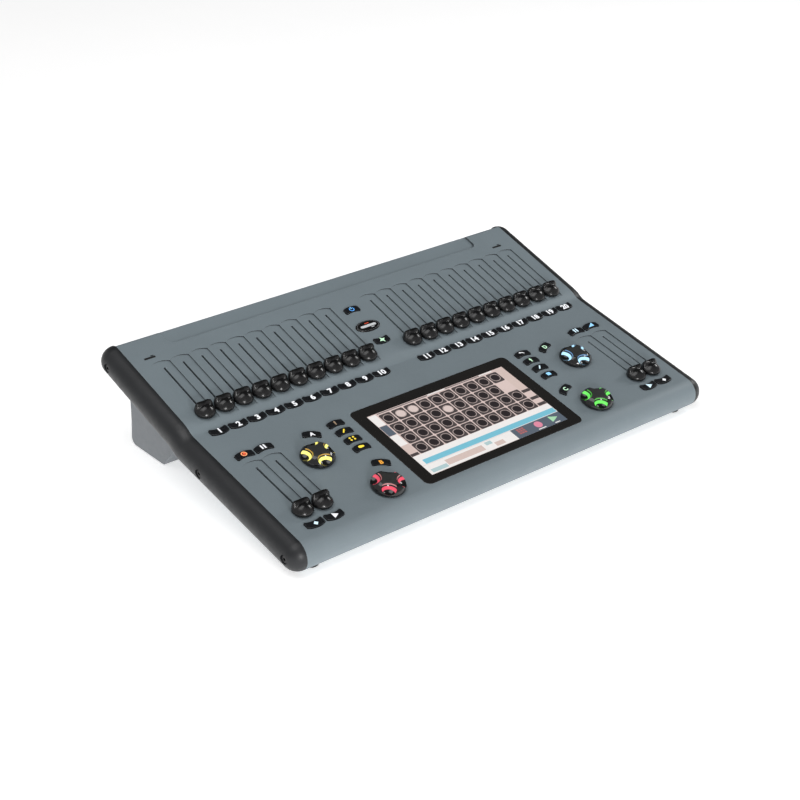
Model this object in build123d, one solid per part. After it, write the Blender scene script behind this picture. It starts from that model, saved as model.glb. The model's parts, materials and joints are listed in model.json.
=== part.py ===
from build123d import *
from math import asin, cos, degrees, pi, radians, sin, sqrt, tan
import os

# Lighting control desk: a slim bent slab with two black end cheeks, a rear
# housing that props it up, twenty submaster faders, four playback faders,
# four encoders, a touch screen and 42 keys.  Millimetres and degrees.
# +Z is up, the operator sits on the -Y side, and the origin is on the table
# under the middle of the desk.

# ---- overall form ---------------------------------------------------------
panel_width = 440.0        # painted top, between the two cheeks
shell_depth = 27.0         # thickness of the slab, square to its top
front_tilt = 12.2          # slope of the front of the panel
rear_tilt = 18.0           # slope of the fader bank
front_run = 145.5          # flat front, from the nose to the step
rear_run = 108.0           # fader bank, from the step to the rear edge
step_angle = 35.0          # steepest slope of the step between the two flats
step_hollow_radius = 15.0  # radius at the foot of the step
step_crest_radius = 41.0   # radius at the top of the step
cheek_rear_run = rear_run - 7.0  # centre of the round rear end of a cheek
foot_height = 2.0
foot_diameter = 12.0
front_foot_inset = 14.0    # from the side of the panel
rear_foot_inset = 26.0     # from the side of the rear housing
rear_foot_rows = (14.0, 37.0)
housing_inset = 9.4        # side of the rear housing, in from the cheek
housing_foot_run = 45.0    # flat bottom of the rear housing, front to back
housing_front_angle = 48.0
housing_corner_radius = 6.5
housing_waist = 2.5        # how far the rear edge of its sides curves in
housing_past_plate = 1.5   # its rear edge behind the connector plate

# ---- sheet metal and clearances -------------------------------------------
panel_wall = 2.0
pan_wall = 1.5
housing_wall = 2.0
plate_wall = 2.0
rear_flange = 9.0
nose_lip = 10.0
bend_radius = 3.0
seam_gap = 0.1             # between sheets that are screwed together
part_gap = 0.3             # between a moving piece and its opening
beyond = 600.0             # cutting blocks reach past the desk
standing = (Align.CENTER, Align.CENTER, Align.MIN)
hanging = (Align.CENTER, Align.CENTER, Align.MAX)

# ---- faders ---------------------------------------------------------------
fader_pitch = 19.05
bank_count = 10            # faders in each half of the submaster bank
bank_gap = 2.72            # between the two halves, in pitches
playback_outer = 197.4     # outer playback fader, from the middle
fader_travel = 60.0
slot_width = 2.0
slot_over = 0.8            # slot beyond the lever at each end of its travel
slot_top = 64.5            # upper end of a submaster slot, up the fader bank
playback_slot_top = 89.5   # upper end of a playback slot, up the front flat
lever_width = 1.2
lever_length = 4.0
cap_diameter = 18.2
cap_height = 9.5
cap_lift = 1.0             # underside of a cap above the panel
cap_edge_radius = 3.2
cap_foot_chamfer = 0.8
scoop_radius = 8.0
scoop_depth = 3.0
rail_width = 9.0
rail_height = 8.5
rail_gap = 1.2             # rail below the sheet, to clear the bend at the step
rail_wall = 1.2
rail_end = 7.0             # rail beyond each end of the travel
carriage_length = 6.0
lane_depth = 0.8           # step between one fader lane and the next
lane_arch_radius = 18.0
lane_foot = -12.0          # where the step cuts a submaster lane off
lane_arch_rise = 8.5       # crown of the arch above the slot's upper end

# ---- keys -----------------------------------------------------------------
key_width = 17.2
key_depth = 7.0
key_radius = 18.0
key_height = 1.3           # top of a key above the panel
key_travel = 1.0
key_corner_radius = 1.2
key_edge_radius = 0.45
key_flange = 0.6           # lip under the panel that keeps a key in
key_flange_height = 1.2
plunger_diameter = 4.0
switch_size = (6.2, 6.2, 4.0)
switch_gap = 0.3           # key plunger above its switch at the end of its travel
small_key_width = 16.0
number_key_row = 142.7     # up the front flat
column_key_x = 107.0
column_key_top = 103.2     # first of the four keys beside the screen
column_key_pitch = 12.0
column_key_count = 4
transport_key_row = 106.3
flash_key_row = 10.2
centre_key_low = 13.4      # up the fader bank
centre_key_high = 59.2

# ---- encoders -------------------------------------------------------------
encoder_outer = (147.0, 74.7)
encoder_inner = (118.8, 17.0)
encoder_key_offset = (13.8, 26.4)
encoder_key_turn = 28.0
outer_knob_turn = -6.0      # how the outer knobs stand at rest
inner_knob_turn = -30.0
knob_scallops = 4
knob_diameter = 30.0
knob_rim_height = 4.5
knob_height = 8.5
knob_lift = 0.8
knob_flat = 19.0           # nearly flat top of a knob
scallop_radius = 7.2
scallop_offset = 13.4
scallop_floor = 2.4
crescent_width = 2.2
crescent_height = 1.4
crescent_start = 1.0       # ends of a crescent, in from the middle of its scallop
knob_edge_drop = 1.5       # where the rounded shoulder of a knob starts
knob_shoulder = (2.5, 1.2) # shoulder point, in from the rim and above its height
knob_dish = 0.5            # rise of the flat top towards its middle
shaft_diameter = 6.0
shaft_end_gap = 2.5        # floor of the encoder below the end of the shaft
shaft_clearance = 0.05
bushing_diameter = 9.0
encoder_side = 13.0

# ---- screen ---------------------------------------------------------------
lens_size = (178.0, 108.0)
lens_row = 55.7            # middle of the lens, up the front flat
lens_corner = 6.0
lens_thickness = 1.6
lens_pocket = 1.2
display_size = (154.0, 87.6)
display_thickness = 5.0
display_border = 6.0

# ---- badge and tray -------------------------------------------------------
badge_size = (26.0, 14.0)
badge_row = 34.6           # up the fader bank
badge_thickness = 1.6
badge_pocket = 0.5
tray_half_width = 177.0
tray_front = 88.1          # up the fader bank
tray_depth = 1.8
tray_corner = 7.0

# ---- screws ---------------------------------------------------------------
cheek_screw_diameter = 4.0
cheek_screw_head = 7.6
cheek_screw_head_height = 2.4
cheek_screw_sunk = 1.2
cheek_screw_row = 118.0    # middle screw of a cheek, up the front flat
case_screw_diameter = 3.0
case_screw_head = 5.6
case_screw_head_height = 1.8
hole_clearance = 0.2
screw_bite = 4.0           # shank beyond the sheet it holds
cheek_screw_back = 5.0     # rear cheek screw, in from the round rear end
head_edge_radius = 0.7
hex_socket_radius = 1.5
hex_socket_depth = 1.4
cross_slot = (3.2, 0.8, 1.0)
case_screw_edge = 5.0      # lower screws above the floor of the housing
case_screw_lift = 6.0      # upper screws above the underside of the slab
case_screw_low_x = (-200.0, -15.0, 200.0)
case_screw_high_x = (-205.0, -70.0, 70.0, 205.0)

# ---- rear panel -----------------------------------------------------------
socket_row = 36.0          # middle of the sockets above the table
dmx_positions = (176.0, 140.0)
dmx_flange = (26.0, 31.0)
dmx_bore = 23.6
network_x = 98.0
network_size = (16.5, 14.0, 21.0)
usb_positions = (66.0, 44.0)
usb_size = (14.5, 7.0, 18.0)
video_x = 8.0
video_size = (17.0, 7.5, 14.0)
inlet_x = -168.0
inlet_size = (27.6, 20.6)
rocker_x = -132.0
rocker_size = (13.0, 19.0)
rocker_swing = 16.0
rocker_depth = 10.0
rocker_axis = -1.0         # hinge of the rocker, out from the plate
rocker_sleeve_wall = 1.0
rocker_bezel = 3.0
inlet_cavity = (23.0, 16.0, 15.0)
inlet_flange = (4.0, 3.0, 2.2)

# ---- inner pieces ---------------------------------------------------------
board_thickness = 1.6
board_margin = 15.0        # boards stop this far inside the sides of the panel
board_start = 4.0          # front board behind the nose
board_beyond = 2.0         # fader board set back from the middle of its rails
supply_size = (100.0, 36.0, 30.0)
supply_x = -70.0
supply_gap = 2.0           # supply to the connector plate
supply_corner = 2.0
main_board_size = (190.0, 42.0)
main_board_x = 92.0
main_board_lift = 5.0
main_board_gap = 1.0       # board to the connector plate
post_places = (82.0, 16.0) # posts from the middle of the main board
post_radius = 3.0

# ---- derived places -------------------------------------------------------
half_width = panel_width / 2
nose_radius = shell_depth / 2
cheek_thickness = shell_depth / 2


def up(angle):
    """Unit vector square to a surface that climbs at this angle, in (y, z)."""
    return (-sin(radians(angle)), cos(radians(angle)))


def along(angle):
    return (cos(radians(angle)), sin(radians(angle)))


def shift(point, direction, distance):
    return (point[0] + direction[0] * distance, point[1] + direction[1] * distance)


# The side view is laid out from the centre of the nose, then placed so that
# the feet are on z = 0 and the box of the desk is centred on y = 0.
nose_top = shift((0.0, 0.0), up(front_tilt), nose_radius)
step_foot = shift(nose_top, along(front_tilt), front_run)
hollow_centre = shift(step_foot, up(front_tilt), step_hollow_radius)
step_middle = shift(hollow_centre, up(step_angle), -step_hollow_radius)
crest_centre = shift(step_middle, up(step_angle), -step_crest_radius)
step_top = shift(crest_centre, up(rear_tilt), step_crest_radius)
rear_top = shift(step_top, along(rear_tilt), rear_run)
cheek_end = shift(shift(step_top, along(rear_tilt), cheek_rear_run), up(rear_tilt), -nose_radius)

place_y = -cheek_end[0] / 2
place_z = nose_radius + foot_height


def at(point, x=0.0):
    """A side-view point as a point of the desk."""
    return (x, point[0] + place_y, point[1] + place_z)


front_plane = Plane(origin=at(nose_top), x_dir=(1, 0, 0), z_dir=(0, *up(front_tilt)))
rear_plane = Plane(origin=at(step_top), x_dir=(1, 0, 0), z_dir=(0, *up(rear_tilt)))

rail_top = -panel_wall - rail_gap
board_top = rail_top - rail_height
bank_inner = bank_gap / 2 * fader_pitch
left_bank = [-bank_inner - (bank_count - 1 - n) * fader_pitch for n in range(bank_count)]
right_bank = [bank_inner + n * fader_pitch for n in range(bank_count)]
playback_x = [-playback_outer, -playback_outer + fader_pitch, playback_outer - fader_pitch, playback_outer]
slot_end = lever_length / 2 + slot_over
cap_rest = slot_top - slot_end - fader_travel
playback_rest = playback_slot_top - slot_end - fader_travel
number_key_x = left_bank + right_bank


def depth_points(depth):
    """Corners of the line that runs this deep under the top, nose to rear."""
    return {
        "nose": shift(nose_top, up(front_tilt), -depth),
        "foot": shift(step_foot, up(front_tilt), -depth),
        "hollow": shift(hollow_centre, up((front_tilt + step_angle) / 2), -step_hollow_radius - depth),
        "middle": shift(step_middle, up(step_angle), -depth),
        "crest": shift(crest_centre, up((rear_tilt + step_angle) / 2), step_crest_radius - depth),
        "top": shift(step_top, up(rear_tilt), -depth),
    }


def under_top(depth, rear_y, start=0.0):
    """Edges of that line from the nose, or start along it, to rear_y."""
    p = depth_points(depth)
    first = shift(p["nose"], along(front_tilt), start)
    last = (rear_y, p["top"][1] + (rear_y - p["top"][0]) * tan(radians(rear_tilt)))
    edges = [
        Line(at(first), at(p["foot"])),
        ThreePointArc(at(p["foot"]), at(p["hollow"]), at(p["middle"])),
        ThreePointArc(at(p["middle"]), at(p["crest"]), at(p["top"])),
        Line(at(p["top"]), at(last)),
    ]
    return edges, first, last


def slab(top_depth, bottom_depth, rear_y, width, lip=None):
    """Band of the side view between two depths, extruded across the desk."""
    upper, upper_first, upper_last = under_top(top_depth, rear_y)
    lower, lower_first, lower_last = under_top(bottom_depth, rear_y)
    edges = upper + lower
    edges.append(Line(at(upper_last), at(lower_last)))
    radius = (bottom_depth - top_depth) / 2
    centre = shift((0, 0), up(front_tilt), nose_radius - (top_depth + bottom_depth) / 2)
    tip = shift(centre, along(front_tilt), -radius)
    edges.append(ThreePointArc(at(lower_first), at(tip), at(upper_first)))
    return extrude(make_face(edges), width / 2, dir=(1, 0, 0), both=True)


def on(plane, x, s, h=0.0, turn=0.0):
    return plane * Pos(x, s, h) * Rot(0, 0, turn)


def block(plane, x, s, h, size):
    """Box on a plane, centred at (x, s), its underside at h."""
    return plane * Pos(x, s, h + size[2] / 2) * Box(*size)


# ---- keys -----------------------------------------------------------------
def arc_outline(width, depth, radius, grow=0.0):
    """Key face curved like a smile: both long edges are arcs."""
    half = width / 2 + grow
    sag = radius - sqrt(radius**2 - half**2)
    up_edge = depth / 2 + grow
    shape = [
        ThreePointArc((-half, up_edge + sag), (0, up_edge), (half, up_edge + sag)),
        Line((half, up_edge + sag), (half, sag - up_edge)),
        ThreePointArc((half, sag - up_edge), (0, -up_edge), (-half, sag - up_edge)),
        Line((-half, sag - up_edge), (-half, up_edge + sag)),
    ]
    middle = sag / 2
    face = Pos(0, -middle, 0) * make_face(shape)
    return fillet(face.vertices(), key_corner_radius + grow)


def key_solid(width):
    cap = extrude(arc_outline(width, key_depth, key_radius), panel_wall + key_height + key_travel)
    cap = Pos(0, 0, -panel_wall - key_travel) * cap
    cap = fillet(cap.faces().sort_by(Axis.Z)[-1].edges(), key_edge_radius)
    flange = extrude(arc_outline(width, key_depth, key_radius, key_flange), key_flange_height)
    flange_low = -panel_wall - part_gap - key_flange_height
    plunger_low = board_top + switch_size[2] + switch_gap + key_travel
    plunger = Cylinder(plunger_diameter / 2, flange_low - plunger_low, align=standing)
    return cap + Pos(0, 0, flange_low) * flange + Pos(0, 0, plunger_low) * plunger


def key_opening(width):
    face = arc_outline(width, key_depth, key_radius, part_gap)
    return Pos(0, 0, -2 * panel_wall) * extrude(face, 4 * panel_wall)


SMILE = 0.0
FROWN = 180.0
number_keys_left = [(front_plane, x, number_key_row, SMILE, key_width) for x in left_bank]
number_keys_right = [(front_plane, x, number_key_row, SMILE, key_width) for x in right_bank]
screen_keys_left = [
    (front_plane, -column_key_x, column_key_top - n * column_key_pitch, FROWN, small_key_width)
    for n in range(column_key_count)
]
screen_keys_right = [
    (front_plane, column_key_x, column_key_top - n * column_key_pitch, FROWN, small_key_width)
    for n in range(column_key_count)
]
encoder_places = [
    (-encoder_outer[0], encoder_outer[1]),
    (-encoder_inner[0], encoder_inner[1]),
    (encoder_outer[0], encoder_outer[1]),
    (encoder_inner[0], encoder_inner[1]),
]


def encoder_key(place):
    inward = -1 if place[0] > 0 else 1
    x = place[0] + inward * encoder_key_offset[0]
    s = place[1] + encoder_key_offset[1]
    return (front_plane, x, s, FROWN - inward * encoder_key_turn, small_key_width)


encoder_keys_left = [encoder_key(place) for place in encoder_places[:2]]
encoder_keys_right = [encoder_key(place) for place in encoder_places[2:]]
transport_keys_left = [(front_plane, x, transport_key_row, FROWN, key_width) for x in playback_x[:2]]
transport_keys_right = [(front_plane, x, transport_key_row, FROWN, key_width) for x in playback_x[2:]]
flash_keys = [(front_plane, x, flash_key_row, SMILE, key_width) for x in playback_x]
power_key = [(rear_plane, 0.0, centre_key_high, FROWN, small_key_width)]
macro_key = [(rear_plane, 0.0, centre_key_low, SMILE, small_key_width)]
key_groups = {
    "number_keys_1_10": number_keys_left,
    "number_keys_11_20": number_keys_right,
    "screen_keys_left": screen_keys_left,
    "screen_keys_right": screen_keys_right,
    "encoder_keys_left": encoder_keys_left,
    "encoder_keys_right": encoder_keys_right,
    "transport_keys_left": transport_keys_left,
    "transport_keys_right": transport_keys_right,
    "flash_keys": flash_keys,
    "power_key": power_key,
    "macro_key": macro_key,
}
key_shapes = {width: key_solid(width) for width in (key_width, small_key_width)}
key_cuts = {width: key_opening(width) for width in (key_width, small_key_width)}


def key_group(places):
    return Compound(children=[on(p, x, s, 0, turn) * key_shapes[width] for p, x, s, turn, width in places])


# ---- faders ---------------------------------------------------------------
fader_places = [(rear_plane, x, cap_rest) for x in left_bank + right_bank]
playback_places = [(front_plane, x, playback_rest) for x in playback_x]
fader_stroke = fader_travel / 2


def slot_cut(plane, x, rest):
    length = fader_travel + 2 * slot_end
    slot = Box(slot_width, length, 6 * panel_wall)
    return plane * Pos(x, rest + fader_stroke, 0) * slot


def lane_cut(plane, x, upper, lower):
    """Wedge that tilts a fader lane, flush at its left and arched at its top."""
    crown = upper + lane_arch_rise
    half = fader_pitch / 2
    drop = lane_arch_radius - sqrt(lane_arch_radius**2 - half**2)
    outline = make_face([
        ThreePointArc((-half, crown - drop), (0, crown), (half, crown - drop)),
        Line((half, crown - drop), (half, lower)),
        Line((half, lower), (-half, lower)),
        Line((-half, lower), (-half, crown - drop)),
    ])
    block_cut = Pos(0, 0, -lane_depth) * extrude(outline, 4 * lane_depth)
    slope = degrees(asin(lane_depth / fader_pitch))
    keep = Pos(0, 0, fader_pitch / 2) * Box(2 * fader_pitch, beyond, fader_pitch)
    keep = Pos(0, 0, -lane_depth / 2) * Rot(0, slope, 0) * keep
    return plane * Pos(x, 0, 0) * (block_cut & keep)


def fader_cap():
    """Squat round cap with a rounded top edge and a scoop across it."""
    radius = cap_diameter / 2
    body = Cylinder(radius, cap_height, align=standing)
    scoop = Pos(0, 0, cap_height + scoop_radius - scoop_depth)
    scoop = scoop * Rot(0, 90, 0) * Cylinder(scoop_radius, 2 * cap_diameter)
    body = fillet(body.edges().sort_by(Axis.Z)[-1], cap_edge_radius)
    body = chamfer(body.edges().sort_by(Axis.Z)[0], cap_foot_chamfer)
    body = body - scoop
    return Pos(0, 0, cap_lift) * body


def fader_lever():
    """Flat lever from the cap down to the carriage inside the rail."""
    carriage_width = rail_width - 2 * rail_wall - 2 * part_gap
    carriage_height = rail_height - 2 * rail_wall - 2 * part_gap
    carriage_top = rail_top - rail_wall - part_gap
    carriage = Box(carriage_width, carriage_length, carriage_height)
    carriage = Pos(0, 0, carriage_top - carriage_height / 2) * carriage
    stem = Box(lever_width, lever_length, cap_lift - carriage_top, align=standing)
    return carriage + Pos(0, 0, carriage_top) * stem


def fader_rail():
    length = fader_travel + carriage_length + 2 * rail_end
    inner = length - 2 * rail_wall
    rail = Pos(0, fader_stroke, rail_top - rail_height / 2) * Box(rail_width, length, rail_height)
    hollow = Box(rail_width - 2 * rail_wall, inner, rail_height - 2 * rail_wall)
    rail = rail - Pos(0, fader_stroke, rail_top - rail_height / 2) * hollow
    gap = Box(slot_width, fader_travel + 2 * slot_end, 4 * rail_wall)
    return rail - Pos(0, fader_stroke, rail_top) * gap


cap_shape = fader_cap()
lever_shape = fader_lever()
rail_shape = fader_rail()


# ---- encoders -------------------------------------------------------------
bushing_length = panel_wall + seam_gap
encoder_height = -board_top - bushing_length
shaft_reach = bushing_length + encoder_height - shaft_end_gap


def encoder_knob(turn):
    """Domed knob with scallops at its rim, a bright crescent in each, and its shaft."""
    rim = knob_diameter / 2
    flat = knob_flat / 2
    edge = knob_rim_height - knob_edge_drop
    shoulder = (rim - knob_shoulder[0], knob_rim_height + knob_shoulder[1])
    profile = make_face([
        Line((0, 0), (rim, 0)),
        Line((rim, 0), (rim, edge)),
        Spline((rim, edge), shoulder, (flat, knob_height - knob_dish), (0, knob_height)),
        Line((0, knob_height), (0, 0)),
    ])
    knob = revolve(Plane.XZ * profile, Axis.Z)
    crescents = []
    for n in range(knob_scallops):
        cup = Rot(0, 0, 90 + turn + n * 360 / knob_scallops) * Pos(scallop_offset, 0, scallop_floor)
        reach = Cylinder(scallop_radius, knob_height, align=standing)
        knob = knob - cup * reach
        ring = Cylinder(scallop_radius, crescent_height, align=standing)
        hole = Cylinder(scallop_radius - crescent_width, 3 * crescent_height)
        half = Box(2 * scallop_radius, 4 * scallop_radius, knob_height)
        half = Pos(-scallop_radius - crescent_start, 0, 0) * half
        crescents.append(cup * ((ring - hole) & half))
    shaft_length = shaft_reach + knob_lift + scallop_floor
    shaft = Cylinder(shaft_diameter / 2, shaft_length, align=hanging)
    knob = knob + Pos(0, 0, scallop_floor) * shaft
    return Pos(0, 0, knob_lift) * Compound(children=[knob] + crescents)


def encoder_base():
    """Switch body under the panel, with the bushing that carries the shaft."""
    body = Pos(0, 0, board_top + encoder_height / 2) * Box(encoder_side, encoder_side, encoder_height)
    bushing = Cylinder(bushing_diameter / 2, bushing_length, align=hanging)
    bore = Cylinder(shaft_diameter / 2 + shaft_clearance, shaft_reach + 1, align=hanging)
    return body + bushing - bore


# ---- shells ---------------------------------------------------------------
rear_face = rear_top[0]                    # outer face of the rear flange
plate_face = rear_face - panel_wall        # outer face of the connector plate
plate_inner = plate_face - plate_wall
housing_side = half_width - housing_inset
housing_floor = -nose_radius               # underside of the rear housing
main_board_y = plate_inner - main_board_size[1] / 2 - main_board_gap
main_board_posts = [
    (main_board_x + i * post_places[0], main_board_y + j * post_places[1])
    for i in (-1, 1)
    for j in (-1, 1)
]
housing_back = plate_face + housing_past_plate            # rear edge of its sides
under_rear = depth_points(shell_depth)["top"]


def under_height(y):
    """Height of the underside of the slab, in the side view."""
    return under_rear[1] + (y - under_rear[0]) * tan(radians(rear_tilt))


housing_front = housing_back - housing_foot_run - housing_corner_radius
slope_ratio = 1 / tan(radians(housing_front_angle))
climb = (under_height(housing_front) - housing_floor) / (1 + tan(radians(rear_tilt)) * slope_ratio)
housing_top_front = housing_front - climb * slope_ratio


def keys_everywhere():
    return [place for group in key_groups.values() for place in group]


def top_panel():
    """Painted sheet: top, step, nose, lip under the nose, rear flange, end plates."""
    inner_width = panel_width - 2 * plate_wall
    outer = slab(0, shell_depth, rear_face, panel_width)
    rear_edge = outer.edges().filter_by(Axis.X).sort_by(Axis.Z)[-1]
    outer = fillet(rear_edge, bend_radius)
    inner = slab(panel_wall, shell_depth - panel_wall, plate_face, inner_width)
    behind_lip = front_plane * Pos(0, nose_lip + beyond / 2, 0) * Box(beyond, beyond, beyond)
    belly = slab(shell_depth - pan_wall - seam_gap, shell_depth + 5, rear_face + 20, panel_width + 10)
    skin = slab(shell_depth - 2 * panel_wall, shell_depth, rear_face + 20, inner_width)
    panel = outer - inner - (belly & behind_lip) - (skin & behind_lip)
    window_top = rear_top[1] - rear_flange
    window = Box(inner_width, 4 * panel_wall, 60, align=hanging)
    panel = panel - Pos(*at((rear_face, window_top))) * window

    tray_length = rear_run + 20 - tray_front
    tray = Box(2 * tray_half_width, tray_length, 20, align=(Align.CENTER, Align.MIN, Align.MIN))
    tray = fillet(tray.edges().filter_by(Axis.Z).sort_by(Axis.Y)[:2], tray_corner)
    tray = rear_plane * Pos(0, tray_front, -tray_depth) * tray
    floor = Box(2 * tray_half_width + 2 * panel_wall, rear_run - tray_front, tray_depth,
                align=(Align.CENTER, Align.MIN, Align.MAX))
    floor = rear_plane * Pos(0, tray_front - panel_wall, -panel_wall) * floor
    panel = panel + floor - tray

    cuts = []
    for plane, x, rest in fader_places:
        cuts.append(slot_cut(plane, x, rest))
        cuts.append(lane_cut(plane, x, slot_top, lane_foot))
    for plane, x, rest in playback_places:
        cuts.append(slot_cut(plane, x, rest))
        cuts.append(lane_cut(plane, x, playback_slot_top, rest - lever_length))
    for plane, x, s, turn, width in keys_everywhere():
        cuts.append(on(plane, x, s, 0, turn) * key_cuts[width])
    for x, s in encoder_places:
        hole = Cylinder(bushing_diameter / 2 + hole_clearance, 6 * panel_wall)
        cuts.append(front_plane * Pos(x, s, 0) * hole)
    pocket = extrude(lens_face(seam_gap), 10)
    cuts.append(front_plane * Pos(0, lens_row, -lens_pocket) * pocket)
    opening = Box(display_size[0] + 2, display_size[1] + 2, 6 * panel_wall)
    cuts.append(front_plane * Pos(0, lens_row, 0) * opening)
    cuts.append(rear_plane * Pos(0, badge_row, -badge_pocket) * extrude(badge_face(seam_gap), 10))
    for side in (-1, 1):
        for place in cheek_screw_places:
            tapped = Rot(0, 90, 0) * Cylinder(cheek_screw_diameter / 2 + hole_clearance / 2, 6 * plate_wall)
            cuts.append(Pos(*at(place, side * half_width)) * tapped)
    return panel.cut(*cuts)


def lens_face(grow=0.0):
    return RectangleRounded(lens_size[0] + 2 * grow, lens_size[1] + 2 * grow, lens_corner)


def badge_face(grow=0.0):
    return Sketch() + Ellipse(badge_size[0] / 2 + grow, badge_size[1] / 2 + grow)


cheek_screw_places = [
    (0.0, 0.0),
    shift(shift(nose_top, along(front_tilt), cheek_screw_row), up(front_tilt), -nose_radius),
    shift(cheek_end, along(rear_tilt), -cheek_screw_back),
]


def bottom_pan():
    """Folded underside, from the nose lip to the connector plate."""
    plate = slab(shell_depth - pan_wall, shell_depth, plate_inner - seam_gap, panel_width)
    front = front_plane * Pos(0, nose_lip + seam_gap - beyond / 2, 0) * Box(beyond, beyond, beyond)
    hole_front = housing_top_front + 2 * housing_wall
    hole = Box(2 * (housing_side - housing_wall), 400, 100, align=(Align.CENTER, Align.MIN, Align.CENTER))
    return plate - front - Pos(*at((hole_front, under_height(hole_front)))) * hole


def rear_housing():
    """Tub under the fader bank: sloped front, flat floor, waisted sides, open top and rear."""
    radius = housing_corner_radius
    low = housing_floor
    top_rear = under_height(housing_back)
    middle = (top_rear + low + radius) / 2
    corner = (housing_back - radius * (1 - sin(pi / 4)), low + radius * (1 - sin(pi / 4)))
    outline = make_face([
        Line(at((housing_top_front, under_height(housing_top_front))), at((housing_front, low))),
        Line(at((housing_front, low)), at((housing_back - radius, low))),
        ThreePointArc(at((housing_back - radius, low)), at(corner), at((housing_back, low + radius))),
        ThreePointArc(at((housing_back, low + radius)), at((housing_back - housing_waist, middle)),
                      at((housing_back, top_rear))),
        Line(at((housing_back, top_rear)), at((housing_top_front, under_height(housing_top_front)))),
    ])
    body = extrude(outline, housing_side, dir=(1, 0, 0), both=True)
    wall = housing_wall
    slant = wall / sin(radians(housing_front_angle))
    reach = wall * slope_ratio
    inner_low = (housing_front + slant - reach, low + wall)
    rise = under_height(housing_front) + 40
    inner_top = (inner_low[0] - (rise - low - wall) * slope_ratio, rise)
    inner = make_face([
        Line(at(inner_low), at((housing_back + 20, low + wall))),
        Line(at((housing_back + 20, low + wall)), at((housing_back + 20, rise))),
        Line(at((housing_back + 20, rise)), at(inner_top)),
        Line(at(inner_top), at(inner_low)),
    ])
    body = body - extrude(inner, housing_side - wall, dir=(1, 0, 0), both=True)
    for x, y in main_board_posts:
        post = Cylinder(post_radius, main_board_lift, align=standing)
        body = body + Pos(x, y + place_y, low + wall + place_z) * post
    return body


def left_cheek():
    """Half-round end moulding with quarter-ball ends."""
    p = depth_points(nose_radius)
    face_x = -half_width
    path = Wire([
        Line(at(p["nose"], face_x), at(p["foot"], face_x)),
        ThreePointArc(at(p["foot"], face_x), at(p["hollow"], face_x), at(p["middle"], face_x)),
        ThreePointArc(at(p["middle"], face_x), at(p["crest"], face_x), at(p["top"], face_x)),
        Line(at(p["top"], face_x), at(cheek_end, face_x)),
    ])
    start = Plane(origin=at(p["nose"], face_x), x_dir=(-1, 0, 0), z_dir=(0, *along(front_tilt)))
    end = Plane(origin=at(cheek_end, face_x), x_dir=(-1, 0, 0), z_dir=(0, *along(rear_tilt)))
    half = Sketch() + Circle(nose_radius)
    half = half - Pos(-nose_radius, 0) * Rectangle(2 * nose_radius, 4 * nose_radius)
    quarter = half - Pos(0, -nose_radius) * Rectangle(4 * nose_radius, 2 * nose_radius)
    body = sweep(start * half, path=path)
    body = body + revolve(start * quarter, Axis(at(p["nose"], face_x), (1, 0, 0)), 180)
    body = body + revolve(end * quarter, Axis(at(cheek_end, face_x), (-1, 0, 0)), 180)
    for place in cheek_screw_places:
        body = body - cheek_screw_hole(-1, place)
    return body


def cheek_screw_hole(side, place):
    outer = cheek_thickness - cheek_screw_sunk - cheek_screw_head_height
    sink = Cylinder(cheek_screw_head / 2 + hole_clearance, cheek_thickness, align=standing)
    shank = Cylinder(cheek_screw_diameter / 2 + hole_clearance, 3 * cheek_thickness)
    return Pos(*at(place, side * half_width)) * Rot(0, 90 * side, 0) * (shank + Pos(0, 0, outer) * sink)


def cheek_screw(side, place):
    outer = cheek_thickness - cheek_screw_sunk - cheek_screw_head_height
    head = Cylinder(cheek_screw_head / 2, cheek_screw_head_height, align=standing)
    head = fillet(head.edges().sort_by(Axis.Z)[-1], head_edge_radius)
    socket = extrude(RegularPolygon(hex_socket_radius, 6), cheek_screw_head_height)
    head = Pos(0, 0, outer) * (head - Pos(0, 0, cheek_screw_head_height - hex_socket_depth) * socket)
    length = outer + plate_wall + screw_bite
    shank = Cylinder(cheek_screw_diameter / 2, length, align=hanging)
    return Pos(*at(place, side * half_width)) * Rot(0, 90 * side, 0) * (head + Pos(0, 0, outer) * shank)


# ---- screen and badge -----------------------------------------------------
def screen_lens():
    lens = extrude(lens_face(), lens_thickness)
    lens = chamfer(lens.faces().sort_by(Axis.Z)[-1].edges(), 0.3)
    return front_plane * Pos(0, lens_row, -lens_pocket) * lens


def display_module():
    frame_size = (display_size[0] + 2 * display_border, display_size[1] + 2 * display_border)
    back = Pos(0, 0, -panel_wall - seam_gap - display_thickness / 2) * Box(*frame_size, display_thickness)
    face_height = panel_wall + seam_gap - lens_pocket - seam_gap
    face = Box(*display_size, face_height, align=standing)
    return front_plane * Pos(0, lens_row, 0) * (back + Pos(0, 0, -panel_wall - seam_gap) * face)


def badge():
    dome = extrude(badge_face(), badge_thickness)
    dome = fillet(dome.faces().sort_by(Axis.Z)[-1].edges(), 0.9)
    return rear_plane * Pos(0, badge_row, -badge_pocket) * dome


# ---- boards and power -----------------------------------------------------
def control_board():
    """Front board under the keys, encoders and playback faders, with its key switches."""
    length = number_key_row + board_start
    ahead = (Align.CENTER, Align.MIN, Align.MAX)
    board = Box(panel_width - 2 * board_margin, length, board_thickness, align=ahead)
    board = front_plane * Pos(0, board_start, board_top) * board
    for plane, x, s, turn, width in keys_everywhere():
        if plane is front_plane:
            board = board + block(plane, x, s, board_top, switch_size)
    return board


def fader_board():
    length = fader_travel + carriage_length + 2 * rail_end
    board = Box(panel_width - 2 * board_margin, length, board_thickness, align=hanging)
    board = rear_plane * Pos(0, cap_rest + fader_stroke + board_beyond, board_top) * board
    for plane, x, s, turn, width in power_key + macro_key:
        board = board + block(plane, x, s, board_top, switch_size)
    return board


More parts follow.
